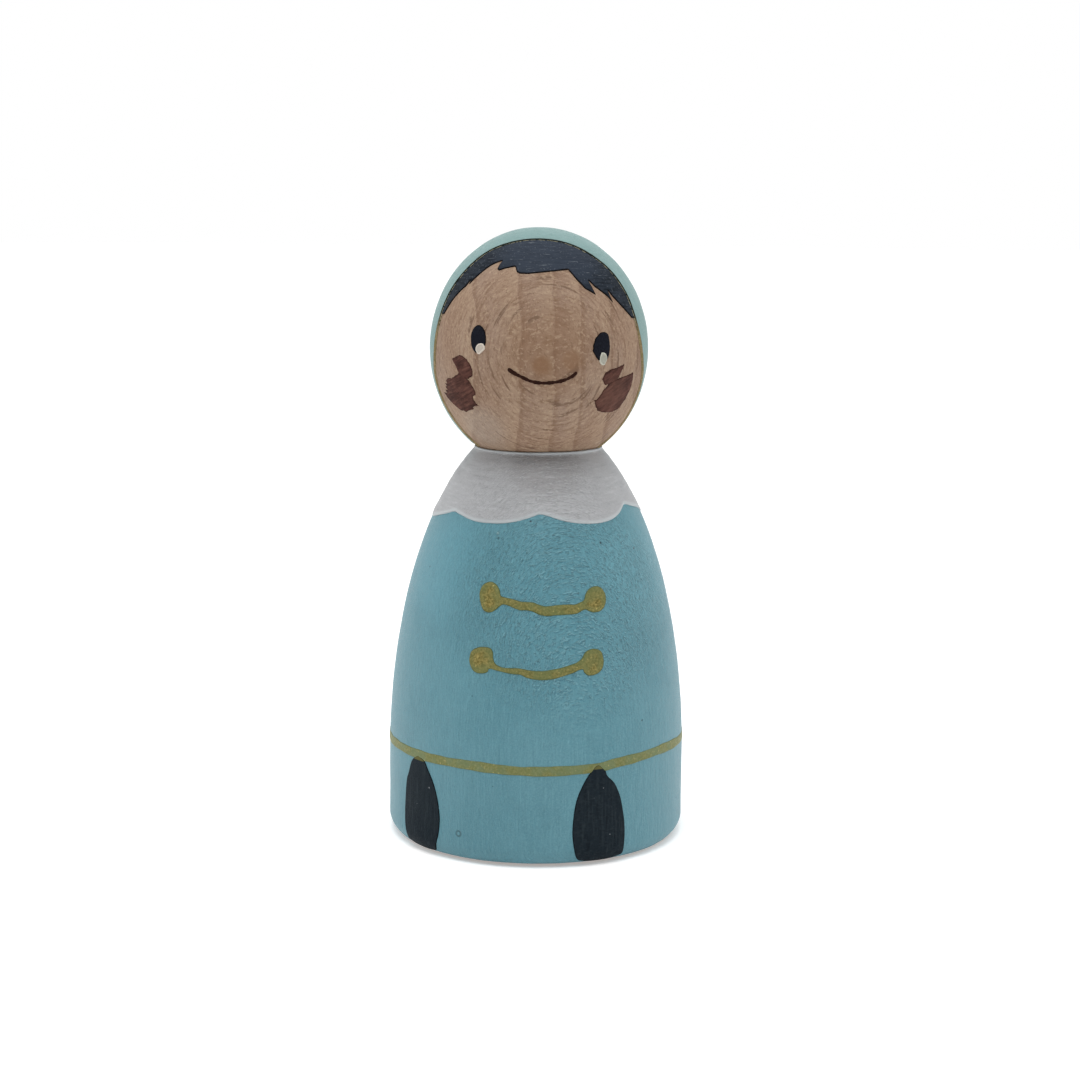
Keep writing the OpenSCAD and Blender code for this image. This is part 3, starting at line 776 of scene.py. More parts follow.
FINISHES = {
    "wood": bare_wood(),
    "coat": brushed_paint(
        "coat_paint", ((84, 137, 150), (117, 169, 181), (60, 110, 124)), streak=(5, 5, 0.3), roughness=0.42,
        specular=0.42, wood=0.11, shows=0.5, strokes=0.3, marks=COAT_MARKS, lively=COAT_LIVELY,
        spots_and_painted_light=COAT_PAINTED_LIGHT,
    ),
    # The collar is darker just under the head: painted shade
    "collar": brushed_paint(
        "collar_paint", ((170, 171, 173), (196, 198, 200), (142, 143, 146)), streak=(0.4, 0.4, 3.0),
        roughness=0.55, specular=0.15, wood=0.045, strokes=0.5, edge_colour=(186, 191, 193), edge_w=0.6,
        marks=COLLAR_MARKS, lively=COLLAR_LIVELY, spots_and_painted_light=COLLAR_PAINTED_SHADE,
    ),
    "hood": brushed_paint(
        "hood_paint", ((126, 158, 156), (144, 174, 175), (108, 142, 136)), streak=(0.5, 2.2, 0.5),
        roughness=0.45, specular=0.2, wood=0.04, shows=0.3, streak_turn=-45,
    ),
    "trim": drawn_line(),
    "hair": scuffed_hair(),
    "eye": brushed_paint(
        "eye_paint", ((22, 23, 31), (36, 40, 48), (14, 14, 18)), streak=(2, 2, 2), roughness=0.42,
        specular=0.03, wood=0.01, shows=0.3, edge_colour=(9, 7, 9), edge_w=0.16,
    ),
    "glint": brushed_paint(
        "glint_paint", ((184, 174, 163), (206, 197, 186), (164, 154, 144)), streak=(3, 3, 3), specular=0.12,
        wood=0.01, shows=0.2, edge_colour=(217, 207, 195), edge_w=0.24,
    ),
    "grey_glint": brushed_paint(
        "glint_paint_grey", ((160, 159, 147), (184, 183, 170), (128, 128, 118)), streak=(4, 4, 0.8),
        specular=0.12, wood=0.01, shows=0.2, strokes=0.7, edge_colour=(196, 196, 182), edge_w=0.22,
    ),
    "smile": brushed_paint(
        "smile_paint", ((42, 23, 17), (58, 34, 26), (28, 14, 11)), streak=(3, 3, 3), roughness=0.6,
        specular=0.04, wood=0.01, shows=0.3,
    ),
    "cheek": dry_cheek(),
    "gold": gold(
        "gold_paint", ((98, 91, 43), (150, 136, 80), (104, 116, 74)), shine=0.1, outline=0.8, thinner=0.35,
    ),
    "hem": gold(
        "gold_paint_thin", ((110, 115, 70), (132, 133, 86), (108, 128, 97)), shine=0.05, outline=0.3,
        thinner=0.0,
    ),
    "boot": brushed_paint(
        "boot_paint", ((27, 36, 43), (52, 60, 64), (17, 23, 29)), streak=(3.2, 3.2, 0.3), roughness=0.48,
        specular=0.03, wood=0.04, shows=0.2, strokes=0.6, edge_colour=(8, 11, 15), edge_w=0.14,
        marks=BOOT_MARKS, tip=(102, 100, 60),
    ),
}


# The turned blank

# Points of the blank across its base, up the rounding, up the body, over the egg, and round the axis
BLANK_BASE, BLANK_ROUND, BLANK_BODY, BLANK_EGG, BLANK_TURNS = 14, 9, 56, 172, 320
BASE_START = 0.03


def turned_blank():
    """The outline carried round the axis: flat base, rounding, wall, dome, neck groove and egg."""
    base = np.linspace(BASE_START, 1, BLANK_BASE)[:-1] * (BODY_R - BASE_ROUND)
    low, high = np.linspace(0, ROUND_END, BLANK_ROUND), np.linspace(ROUND_END, NECK_ALONG, BLANK_BODY)
    along = np.concatenate([low, high[1:]])
    egg = np.linspace(-math.acos(NECK_R / HEAD_R), math.pi / 2, BLANK_EGG)[:-1]
    r = np.concatenate([base, np.interp(along, BODY_ALONG, BODY_RADII), HEAD_R * np.cos(egg)])
    z = np.concatenate([0 * base, np.interp(along, BODY_ALONG, BODY_HEIGHTS), HEAD_Z + EGG_H * np.sin(egg)])
    turned = np.linspace(0, 2 * math.pi, BLANK_TURNS, endpoint=False)
    rows = [r[:, None] * np.sin(turned), -r[:, None] * np.cos(turned), z[:, None] + 0 * turned]
    points, faces = ball_mesh(np.stack(rows, -1), [0, 0, 0], [0, 0, HEAD_Z + EGG_H])
    add_piece("wooden_blank", points, faces, "turned_blank", "bare_wood", "wood")


# Paint that runs round the whole body

def add_ring(name, section, turned, slot, finish, edge):
    """A closed section carried round the axis: one row for each point of the section."""
    faces = grid_faces(section.shape[0], len(turned), wrap_rows=True)
    edge = np.broadcast_to(edge, section.shape[:2]).ravel()
    add_piece(name, section.reshape(-1, 3), faces, name, slot, finish, edge=edge)


# The paint starts on the base's rounding, where the solid's boots are this far above the floor
PAINT_LIFT, SOLID_BOOT_T = 0.1, 0.12
PAINT_SINE = (BASE_ROUND - PAINT_LIFT) / (BASE_ROUND + COAT_T + SOLID_BOOT_T)
PAINT_START = ROUND_END - math.asin(PAINT_SINE) * BASE_ROUND

# How far below the neck the coat and the collar's flat part end along the outline
COAT_STOP, COLLAR_STOP = 0.55, 0.5

# Points of the coat round the axis, and up outside and down inside its section
COAT_TURNS, COAT_UP, COAT_DOWN = 360, 190, 10
COAT_ROUNDED = 0.12


def coat():
    """The coat as a section that goes up outside and comes back inside, with soft brush waves."""
    turned = np.linspace(-math.pi, math.pi, COAT_TURNS, endpoint=False)
    up = np.linspace(PAINT_START, NECK_ALONG - COAT_STOP, COAT_UP)
    down = np.linspace(NECK_ALONG - COAT_STOP, PAINT_START, COAT_DOWN)[1:-1]
    outer = on_body(turned, up[:, None], COAT_T)
    near = np.minimum(up - up[0], up[-1] - up)[:, None]
    relief = 0.012 * ripple(outer, 0.18, 3) + 0.008 * ripple(outer, 0.6, 4, (1, 1, 0.35))
    lift = (COAT_T + relief) * rounded(near, COAT_ROUNDED) - SUNK * (near <= 0)
    outer = on_body(turned, up[:, None], lift)
    inner = on_body(turned, down[:, None], -SUNK)
    edge = np.concatenate([near, np.full((len(down), 1), FAR_IN)])
    add_ring("coat", np.concatenate([outer, inner]), turned, "coat_paint", "coat", edge)


# The collar's lower edge in front as it is seen, and its angles from the front and heights behind
COLLAR_EDGE = (
    (433.4, 516.8), (440, 515.5), (448, 513.6), (454.4, 512.2), (457.5, 513.8), (462, 516.2), (469, 519.8),
    (478, 522.6), (491, 523.9), (505, 523.9), (518, 522), (529, 518.8), (535.5, 516.4), (539.4, 515.2),
    (544, 515.8), (550, 517.4), (558, 520.2), (570, 523.2), (582, 524.4), (593, 524.6), (604, 523),
    (613, 519.5), (618.5, 515), (620.9, 511.4), (622.6, 507.6), (624.6, 505), (631, 506.4), (638.6, 508.6),
)
COLLAR_BACK = (
    (92, 38.1), (98, 38.35), (103, 38.9), (106, 39.35), (109, 39.1), (116, 38.5), (130, 38.1), (144, 38.4),
    (152, 39.0), (155, 39.3), (158, 39.1), (166, 38.5), (180, 38.1), (194, 38.3), (201, 38.9), (204, 39.3),
    (208, 38.9), (216, 38.4), (230, 38.0), (244, 38.3), (252, 38.9), (255, 39.2), (259, 38.8), (266, 38.1),
    (273, 37.6),
)


# Points of the collar round the axis, along its rim, above it and back inside, and the rim's share
COLLAR_TURNS, COLLAR_RIM, COLLAR_UP, COLLAR_DOWN = 560, 14, 66, 9
RIM_SHARE, COLLAR_ROUNDED = 0.12, 0.22

# The bead in the neck groove: its middle from the neck, its radius, and its angles in degrees
BEAD_OUT, BEAD_UP, BEAD_R = 0.21, 0.08, 0.15
BEAD_ANGLES = (-35, -10, 15, 40, 65, 90, 120, 150, 180)


def collar():
    """The collar's lower edge is a row of arcs, each hanging between two points. Its section has a
    rim there, goes up with brush ridges, rolls over in the neck groove and comes back."""
    front = seen(COLLAR_EDGE)
    at = np.degrees(np.arctan2(front[:, 0], -front[:, 1]))
    table = np.concatenate([np.stack([at, front[:, 2]], -1), COLLAR_BACK, [[at[0] + 360, front[0, 2]]]])
    turned = np.radians(np.linspace(at[0], at[0] + 360, COLLAR_TURNS, endpoint=False))
    low = between(np.degrees(turned), table)
    start = np.interp(low, BODY_HEIGHTS, BODY_ALONG)
    stop = NECK_ALONG - COLLAR_STOP
    rim, rest = np.linspace(0, RIM_SHARE, COLLAR_RIM), np.linspace(RIM_SHARE, 1, COLLAR_UP)
    along = start + (stop - start) * np.concatenate([rim[:-1], rest])[:, None]
    near = along - start
    outer = on_body(turned, along, COAT_T)
    ridges = 0.014 * ripple(outer, 0.5, 11, (0.25, 0.25, 2.2)) + 0.01 * ripple(outer, 0.2, 12)
    thick = 0.05 + 0.05 * hump(near, 0, 1.6) + 0.025 * hump(near, 0.35, 0.25)
    lift = COAT_T - SUNK + (thick + SUNK + ridges) * rounded(near, COLLAR_ROUNDED)
    outer = on_body(turned, along, lift)
    bead_r = BEAD_R + 0.03 * np.sin(turned * 2 + 0.6) + 0.015 * np.sin(turned * 9)
    roll = np.radians(np.array(BEAD_ANGLES))[:, None]
    r = NECK_R + BEAD_OUT + bead_r * np.cos(roll)
    z = NECK_Z + BEAD_UP + bead_r * np.sin(roll)
    bead = np.stack([r * np.sin(turned), -r * np.cos(turned), z], -1)
    down = np.linspace(1, 0, COLLAR_DOWN)[:-1, None]
    back = on_body(turned, start + (stop - start) * down, COAT_T - 2 * SUNK)
    section = np.concatenate([outer, bead, back])
    edge = np.concatenate([near, 0 * r, np.full((len(down), len(turned)), FAR_IN)])
    add_ring("collar", section, turned, "collar_paint", "collar", edge)


# Height of the hem line's middle at angles from the front
HEM_HEIGHTS = (
    (-180, 11.5), (-140, 11.6), (-100, 11.45), (-75, 11.45), (-68, 11.5), (-52, 11.46), (-38, 11.5),
    (-25, 11.52), (-12, 11.37), (0, 11.3), (12, 11.34), (25, 11.45), (30, 11.65), (35, 11.76), (41, 11.82),
    (48, 11.92), (56, 11.97), (67, 11.87), (80, 11.72), (120, 11.45), (180, 11.5),
)


# The hem line's half width, the share of it that is rounded, and the share that its underside takes
HEM_HALF, HEM_ROUNDED, HEM_UNDERSIDE = 0.57, 0.3, 0.9
HEM_TURNS, HEM_OVER, HEM_UNDER = 480, 13, 4


def hem_line():
    """A low rounded band of gold round the coat, with a hand's wobble in its height and width."""
    turned = np.linspace(-math.pi, math.pi, HEM_TURNS, endpoint=False)
    middle = np.interp(between(np.degrees(turned), HEM_HEIGHTS), BODY_HEIGHTS, BODY_ALONG)
    half = HEM_HALF + 0.03 * np.sin(turned * 13) + 0.02 * np.sin(turned * 37 + 2)
    a = np.linspace(-1, 1, HEM_OVER)[:, None]
    rise = rounded(1 - np.abs(a), HEM_ROUNDED)
    lift = COAT_T - SUNK + (HEM_T + SUNK) * rise
    upper = on_body(turned, middle + half * a, lift)
    upper = on_body(turned, middle + half * a, lift + 0.01 * ripple(upper, 0.9, 21) * rise)
    under = np.linspace(HEM_UNDERSIDE, -HEM_UNDERSIDE, HEM_UNDER)[:, None]
    lower = on_body(turned, middle + half * under, COAT_T - 2 * SUNK)
    near = np.concatenate([(1 - np.abs(a)) * half, np.full((len(under), len(turned)), FAR_IN)])
    add_ring("hem_line", np.concatenate([upper, lower]), turned, "gold_paint", "hem", near)


# The hood and what lies along its edge

# How far forward the hood's edge lies, at angles round the face from its top to the doll's left
HOOD_EDGE = (
    (-170, -3.0), (-145, -3.1), (-130, -3.3), (-118, -3.1), (-104, -3.2), (-95, -3.9), (-88, -4.2),
    (-76, -4.5), (-60, -4.5), (-45, -4.61), (-30, -4.66), (-15, -5.03), (0, -5.23), (15, -5.2), (30, -5.22),
    (45, -5.1), (60, -5.2), (70, -5.35), (80, -5.2), (88, -4.8), (95, -4.2), (104, -3.2), (118, -2.6),
    (130, -2.3), (145, -2.4), (170, -2.4),
)

# The hood ends at this upward part of a direction on the head, and its rings start from that one
NECK_WAY = -0.79
BACK_WAY = np.array([0, 1, 1]) / math.sqrt(2)


def edge_way(angle):
    """Directions on the head along the hood's edge, by the angle round the face in degrees. The part
    forward is the table's, and the rest goes sideways and up by the angle's sine and cosine."""
    forward = between(angle, HOOD_EDGE) / HEAD_R
    side = np.sqrt(1 - forward**2)
    return np.stack([side * np.sin(np.radians(angle)), forward, side * np.cos(np.radians(angle))], -1)


# Points of the hood round its start, and rings of its upper and its lower sheet. The upper ones go from
# the first to the second share of the way to the edge, and then stand at the last ones
HOOD_TURNS, HOOD_RINGS, HOOD_INNER = 520, 64, 10
HOOD_FIRST, HOOD_NEARLY = 0.02, 0.97
HOOD_LAST = (0.978, 0.985, 0.99, 0.994, 0.997, 0.999, 1)

# How often the way to the hood's edge is halved
HALVINGS = 40

# The hood is this much thinner than its solid, and rounded over this width at its edge
HOOD_THINNER, HOOD_ROUNDED = 0.02, 0.2


def hood():
    """Rings of points round the upper back of the head. Along each ray from there, the hood ends where
    the direction first passes the edge round the face or comes near the neck. That place is found by
    halving the way again and again."""
    turned = np.linspace(0, 2 * math.pi, HOOD_TURNS, endpoint=False)
    side = np.array([1.0, 0, 0])
    other = np.cross(BACK_WAY, side)
    out = np.cos(turned)[:, None] * side + np.sin(turned)[:, None] * other

    def way(far):
        return np.cos(far)[..., None] * BACK_WAY + np.sin(far)[..., None] * out

    low, high = np.zeros(HOOD_TURNS), np.full(HOOD_TURNS, math.pi)
    for _ in range(HALVINGS):
        middle = (low + high) / 2
        n = way(middle)
        angle = np.degrees(np.arctan2(n[:, 0], n[:, 2]))
        inside = (n[:, 1] > between(angle, HOOD_EDGE) / HEAD_R) & (n[:, 2] > NECK_WAY)
        low, high = np.where(inside, middle, low), np.where(inside, high, middle)
    share = np.concatenate([np.linspace(HOOD_FIRST, HOOD_NEARLY, HOOD_RINGS), HOOD_LAST])[:, None]
    near = (1 - share) * low * HEAD_R
    upper = on_head(way(share * low), HOOD_T)
    relief = 0.012 * ripple(upper, 0.3, 31) + 0.008 * ripple(upper, 0.8, 32, (0.4, 1, 0.4))
    lift = -SUNK + (HOOD_T - HOOD_THINNER + SUNK + relief) * rounded(near, HOOD_ROUNDED)
    upper = on_head(way(share * low), lift)
    lower = on_head(way(np.linspace(0.95, 0.05, HOOD_INNER)[:, None] * low), -2 * SUNK + 0 * low)
    top, bottom = on_head(BACK_WAY, HOOD_T - HOOD_THINNER), on_head(BACK_WAY, -2 * SUNK)
    points, faces = ball_mesh(np.concatenate([upper, lower]), top, bottom)
    edge = np.concatenate([near.ravel(), np.full(len(points) - near.size, FAR_IN)])
    add_piece("hood", points, faces, "hood", "hood_paint", "hood", edge=edge)


# Points along the hood's line. Then in degrees round the face its ends, where the hair ends, and over
# how much the line changes there
TRIM_POINTS, TRIM_END, HAIR_END, HAIR_FADE = 900, 146, 82, 12

# Half its width, and how much wider and flatter it is beside the bare wood
TRIM_HALF, TRIM_WIDER, TRIM_FLATTER = 0.22, 0.06, 0.1

# Its section: places across in half widths, and heights as shares, with the last two inside the head
TRIM_ACROSS = np.array([-1, -0.85, -0.5, 0, 0.5, 0.85, 1, 0.5, -0.5])
TRIM_HEIGHTS = np.array([0, 0.6, 0.92, 1, 0.92, 0.6, 0, -0.4, -0.4])


def hood_trim():
    """A narrow rounded line of paint along the hood's edge: a flat oval section carried along it. It is
    wider and flatter beside the bare wood than beside the hair."""
    angle = np.linspace(-TRIM_END, TRIM_END, TRIM_POINTS)
    middle = edge_way(angle)
    across = np.cross(np.gradient(middle, axis=0), middle)
    across /= np.linalg.norm(across, axis=1)[:, None]
    by_hair = np.clip((HAIR_END - np.abs(angle)) / HAIR_FADE, 0, 1)
    half = TRIM_HALF + TRIM_WIDER * (1 - by_hair) + 0.02 * np.sin(angle * 0.31) + 0.015 * np.sin(angle * 0.83)
    way = middle[:, None] + across[:, None] * (half[:, None] / HEAD_R * TRIM_ACROSS)[..., None]
    way /= np.linalg.norm(way, axis=-1, keepdims=True)
    high = (TRIM_T - TRIM_FLATTER * (1 - by_hair[:, None]) * (TRIM_ACROSS > 0)) * TRIM_HEIGHTS
    points = on_head(way, np.where(TRIM_HEIGHTS > 0, high, TRIM_HEIGHTS * SUNK * 2))
    rows, count = points.shape[:2]
    faces = grid_faces(rows, count)
    faces += [list(range(count)), [(rows - 1) * count + k for k in reversed(range(count))]]
    line = np.stack([np.repeat(angle, count), np.tile(TRIM_ACROSS, rows), np.repeat(by_hair, count)], -1)
    add_piece("hood_trim", points.reshape(-1, 3), faces, "hood_trim", "trim_paint", "trim", line=line)


# Painted shapes, drawn with pixels of the photograph. FRINGE is the hair's lower edge

FRINGE = (
    (444.5, 314), (454.3, 298.4), (461.7, 290.3), (466.1, 286.6), (471.2, 280), (469, 284.8),
    (476.4, 277.5), (487.4, 268.3), (493.2, 264.6), (502.4, 261), (499.5, 265), (497.3, 269),
    (499.1, 270.9), (504.2, 269), (515.2, 266.8), (516.7, 272), (519.6, 273.8), (527.7, 274.2), (540, 273),
    (555, 271.5), (568, 270), (576, 279.5), (585, 289), (596.1, 295.2), (588.4, 280.8), (594.5, 287),
    (601, 291.7), (607, 296.5), (613, 303), (607.4, 290.6), (613, 297.5), (619.3, 304.3), (625, 310.5),
    (631.5, 318),
)
RIGHT_EYE = (
    (478.4, 324.9), (482.3, 326.8), (485.1, 331.7), (486.1, 338.1), (485.6, 343.7), (483.7, 348.6),
    (479.8, 352.1), (475.9, 352.9), (473.6, 350.3), (471.7, 346.1), (471, 340.2), (471.5, 333.1),
    (474.5, 327.2),
)
RIGHT_GLINT = (
    (479.5, 343.3), (482.3, 343.1), (484.4, 344.7), (485.1, 348.2), (484, 350.1), (481.9, 352.1),
    (479.7, 354.1), (477.9, 354), (476.6, 352.1), (475.7, 349.3), (476.3, 346.5), (477.7, 344.4),
)
LEFT_EYE = (
    (600.3, 332.8), (602.8, 332), (605.6, 332.3), (608, 334.2), (609.1, 338.1), (609.7, 343),
    (609.9, 347.9), (609.2, 353.5), (608, 357.7), (605.2, 361.6), (602.1, 362), (598.9, 360.4),
    (596.8, 358.4), (594.7, 354.9), (592.5, 350.7), (593.2, 348.9), (593, 345.8), (594.4, 341.6),
    (595.1, 338.8), (597.9, 335.3),
)
LEFT_GLINT = (
    (602.1, 352.2), (604.9, 352.9), (606.6, 355.6), (606.9, 359.1), (605.7, 362), (604.5, 364.7),
    (602.6, 365.3), (600.7, 364), (599.3, 361.2), (599.3, 358.4), (600, 355.6), (600.7, 353.1),
)
SMILE = (
    (509.2, 369.9), (511.8, 371.8), (516, 374.2), (521, 376.8), (526, 379.2), (531, 381.3), (536.5, 382.6),
    (542, 383.1), (547, 383.1), (552, 382.7), (557, 382), (562, 381), (567, 379.2), (572, 376.5),
    (575.8, 373.3),
)
RIGHT_CHEEK = (
    (
        (451.9, 358.8), (455.3, 356.6), (459.5, 354.9), (462.6, 355.9), (466.1, 358.8), (469.3, 363),
        (471.7, 367.5), (472.9, 371.7), (472.6, 375.2), (470.7, 377.7), (468.2, 379.1), (463.7, 377.3),
        (458.9, 372.8), (457, 369.3), (454.6, 363.7),
    ),
    (
        (447.5, 378), (451.7, 377.9), (455.3, 375.6), (458.9, 372.8), (463, 375.2), (467.2, 379.1),
        (469.3, 380.8), (472.1, 385.1), (474.2, 389.3), (475.6, 392.4), (475.5, 394.5), (472.9, 396.6),
        (473.8, 399.8), (475.9, 403.3), (478.4, 405.5), (474.9, 406.2), (473.1, 407.2), (474.3, 408.9),
        (472.1, 410), (469.3, 410.3), (468.2, 411), (466.1, 412.1), (464.7, 411), (463, 411), (460.9, 410),
        (458.1, 407.9), (454.6, 404.7), (451, 401.2), (447.5, 397), (445.1, 393.5), (444.2, 391.9),
        (447.8, 393.5), (445.6, 389.3), (448.2, 390.1), (445.3, 386), (447.8, 386.6), (445.4, 383),
        (447.6, 383.5), (446.3, 380.6),
    ),
)
LEFT_CHEEK = (
    (
        (624.4, 363.5), (621.7, 365.4), (616.1, 367.5), (610.5, 369.6), (606.6, 371.7), (604.2, 374.9),
        (602.1, 379.1), (603.1, 381.9), (604.9, 385.1), (608.4, 384.4), (613.3, 382.3), (617.5, 379.1),
        (619.6, 375.2), (621.7, 370.3), (623.5, 366.5),
    ),
    (
        (633, 372.3), (629.4, 374.2), (624.5, 376.3), (619.6, 378), (617.5, 379.1), (613.3, 380.8),
        (609.1, 383.7), (606.3, 386.8), (602.8, 390.7), (601, 394.2), (598.2, 397.7), (596.1, 399.8),
        (594, 400.1), (595.1, 404), (596.1, 408.2), (597.2, 411), (600, 411.9), (604.2, 412.6),
        (607.7, 412.1), (611.9, 411.7), (615.4, 410), (618.9, 407.9), (621.7, 404), (625.2, 399.1),
        (627.3, 394.2), (630.1, 388.6), (631.5, 384.4), (632.6, 378.7),
    ),
)
UPPER_CLASP = (
    (491.7, 581.9), (496.6, 584.8), (499.6, 589.8), (501, 595.7), (504.5, 597.4), (508.5, 598.2),
    (514.4, 599.7), (520.4, 601.6), (526.3, 602.1), (533.2, 602.6), (538.2, 604.6), (544.1, 606.4),
    (550, 606.2), (557.9, 605.2), (566.8, 604.6), (574.7, 604.6), (579.7, 602.6), (583.6, 600.2),
    (585.1, 594.7), (587.6, 590.3), (591.5, 587.3), (596.5, 586.3), (600.9, 587.8), (604.4, 592.2),
    (605.9, 596.7), (605.9, 602.6), (603.9, 608.1), (599.4, 612), (593.5, 613), (588.6, 611.5),
    (586.1, 610.2), (582.6, 611), (577.7, 613.9), (571.8, 615), (563.9, 615.5), (555.9, 616), (549, 616.7),
    (544.1, 616.5), (538.2, 615), (533.2, 612.5), (526.3, 611), (520.4, 611), (514.4, 609), (509.5, 606.8),
    (504.5, 605.2), (501.6, 605.7), (498.6, 607.8), (495.6, 610.5), (491.7, 612.7), (487.7, 613),
    (483.8, 611), (481.3, 606.6), (479.8, 600.6), (479.3, 594.7), (480.3, 589.8), (482.8, 585.3),
    (486.7, 582.7),
)
LOWER_CLASP = (
    (482.8, 646.9), (488.7, 647.6), (491.7, 649.6), (493.2, 653), (493.4, 657.5), (494.7, 662.4),
    (497.6, 665.4), (502.6, 667.4), (509.5, 668.1), (516.4, 668.1), (522.3, 668.9), (529.3, 670.3),
    (536.2, 671), (544.1, 671), (551, 669.8), (558.9, 668.4), (565.8, 666.4), (571.8, 664.4),
    (576.7, 662.4), (581.6, 658.5), (584.6, 653), (588.6, 650.1), (593.5, 648.8), (598.5, 649.6),
    (601.9, 652.5), (603.4, 658), (603.9, 662.9), (602.4, 668.9), (598.5, 673.3), (592.5, 675.8),
    (587.6, 675.6), (584.1, 672.8), (582.6, 670), (578.7, 670.8), (573.7, 673.3), (567.8, 675.3),
    (561.9, 677.3), (554, 679.5), (546.1, 680.5), (538.2, 680.5), (531.2, 679.5), (525.3, 677.8),
    (520.4, 675.3), (514.4, 674.8), (507.5, 673.8), (501.6, 672.3), (495.6, 670.8), (489.7, 669.3),
    (487.7, 672.3), (483.8, 673.8), (477.9, 673.6), (473.4, 671.3), (470.9, 667.4), (469.2, 661.9),
    (469.4, 657), (470.9, 652), (473.9, 649.1), (477.9, 647.5),
)

# Each boot: its two sides from the tip down to where the base's rounding hides it
RIGHT_BOOT = (
    (
        (418, 755.3), (413.8, 757.8), (411.4, 761.7), (408.8, 771.9), (406.9, 779.7), (405.8, 795.3),
        (405.2, 810.9), (405.3, 821.9), (406.7, 831.2), (409.1, 836.7),
    ),
    (
        (420.8, 757), (424.7, 760.9), (428.6, 770.3), (432.5, 779.7), (435.9, 790.6), (438.4, 803.1),
        (439.8, 817.2), (439.4, 828.1), (438.2, 836.5), (436.4, 844),
    ),
)
LEFT_BOOT = (
    (
        (597.8, 764.8), (590.3, 772.7), (584.8, 781.2), (579.4, 792.2), (576.2, 801.6), (573.9, 812.5),
        (572.5, 825), (572.2, 834.4), (573.1, 843.8), (574.7, 853.1), (576.6, 858),
    ),
    (
        (605.2, 770.3), (607.5, 775.8), (613.8, 782), (617.7, 789.1), (620.8, 798.4), (622.8, 809.4),
        (624.4, 821.9), (624.7, 834.4), (623.9, 845.3), (622, 852),
    ),
)


def smooth_loop(pixels, plane, spacing):
    """A smooth closed line through pixels, on a drawing plane, with even points."""
    return even(plane(seen(drawn(pixels, 6, closed=True))), spacing, closed=True)


def sharp_loop(pixels, plane, spacing):
    """The same with a corner at each pixel."""
    return even(plane(seen(pixels)), spacing, closed=True)


# Height of the rim behind a dab's edge, as a share of its thickness
RIM_HEIGHT = 0.12


def dab_lift(thick, width, seed, ridge=0.01, base=0.0):
    """How a dab of paint rises: a rounded edge of a set width, a low rim behind it, and soft waves."""
    def lift_of(near, flat, k):
        spot = np.stack([flat[:, 0], flat[:, 0] * 0 + 7 * k, flat[:, 1]], -1)
        waves = ridge * ripple(spot, 0.8, seed)
        rim = RIM_HEIGHT * thick * hump(near, width, width)
        return base - SUNK + (thick + SUNK + waves * 0.5 + rim - RIM_HEIGHT * thick) * rounded(near, width)
    return lift_of


def add_dab(name, loops, place, slot, finish, lift_of, rim, spacing, tip_height=None):
    """A film of paint over closed lines. Its points keep their distance from the border, and their
    height above a given one where the tip has another tone."""
    points, faces, near = film(loops, place, spacing, rim, lift_of)
    values = {} if tip_height is None else {"tone": points[:, 2] - tip_height}
    add_piece(name, points, faces, name, slot, finish, edge=near, **values)


# Points along the hair's top
HAIR_TOP_POINTS = 160


def hair():
    """The shape between the fringe and the hood's edge. The fringe's corners stay sharp."""
    fringe = seen(FRINGE)
    way = head_way(fringe)
    angle = np.degrees(np.arctan2(way[:, 0], way[:, 2]))
    top = on_head(edge_way(np.linspace(angle[-1] + 1, angle[0] - 1, HAIR_TOP_POINTS)), 0.0)
    loop = even(head_plane(np.concatenate([fringe, top])), 0.16, closed=True)
    lift = dab_lift(HAIR_T, width=0.14, seed=41, ridge=0.02)
    add_dab("hair", [loop], from_head_plane, "hair_paint", "hair", lift, (0.04, 0.1, 0.2), spacing=0.3)


def eyes():
    """A dark oval for each eye, and over its lower end a thicker dot of pale paint."""
    rim = (0.03, 0.08, 0.16)
    for side, eye, light, paint, seed in (
        ("right", RIGHT_EYE, RIGHT_GLINT, "glint", 51), ("left", LEFT_EYE, LEFT_GLINT, "grey_glint", 52),
    ):
        loop = smooth_loop(eye, head_plane, 0.09)
        lift = dab_lift(EYE_T, width=0.13, seed=seed, ridge=0.006)
        add_dab(f"{side}_eye", [loop], from_head_plane, "eye_paint", "eye", lift, rim, spacing=0.14)
        loop = smooth_loop(light, head_plane, 0.06)
        lift = dab_lift(EYE_T + GLINT_T, width=0.2, seed=seed + 5, ridge=0.008)
        add_dab(f"{side}_eye_glint", [loop], from_head_plane, "glint_paint", paint, lift, rim, spacing=0.09)


# Half the width of the smile's line, and how much more it is along the first seventh
PEN_HALF, PEN_PRESSED = 0.185, 0.03


def smile():
    """A pen line of nearly even width along a drawn curve, with round ends."""
    line = even(head_plane(seen(drawn(SMILE, 8))), 0.07)
    way = np.gradient(line, axis=0)
    way /= np.linalg.norm(way, axis=1)[:, None]
    side = np.stack([-way[:, 1], way[:, 0]], -1)
    count = len(line)
    half = PEN_HALF + 0.015 * np.sin(np.arange(count) * 0.5) + 0.025 * np.sin(np.arange(count) * 0.17)
    half[: count // 7] += PEN_PRESSED
    turn = np.linspace(0, math.pi, 9)[1:-1, None]
    end = line[-1] + half[-1] * (np.cos(turn) * side[-1] + np.sin(turn) * way[-1])
    start = line[0] + half[0] * (-np.cos(turn) * side[0] - np.sin(turn) * way[0])
    loop = np.concatenate([line + side * half[:, None], end, (line - side * half[:, None])[::-1], start])
    lift = dab_lift(SMILE_T, width=0.1, seed=61, ridge=0.006)
    add_dab("smile", [loop], from_head_plane, "smile_paint", "smile", lift, (0.03, 0.08), spacing=0.09)


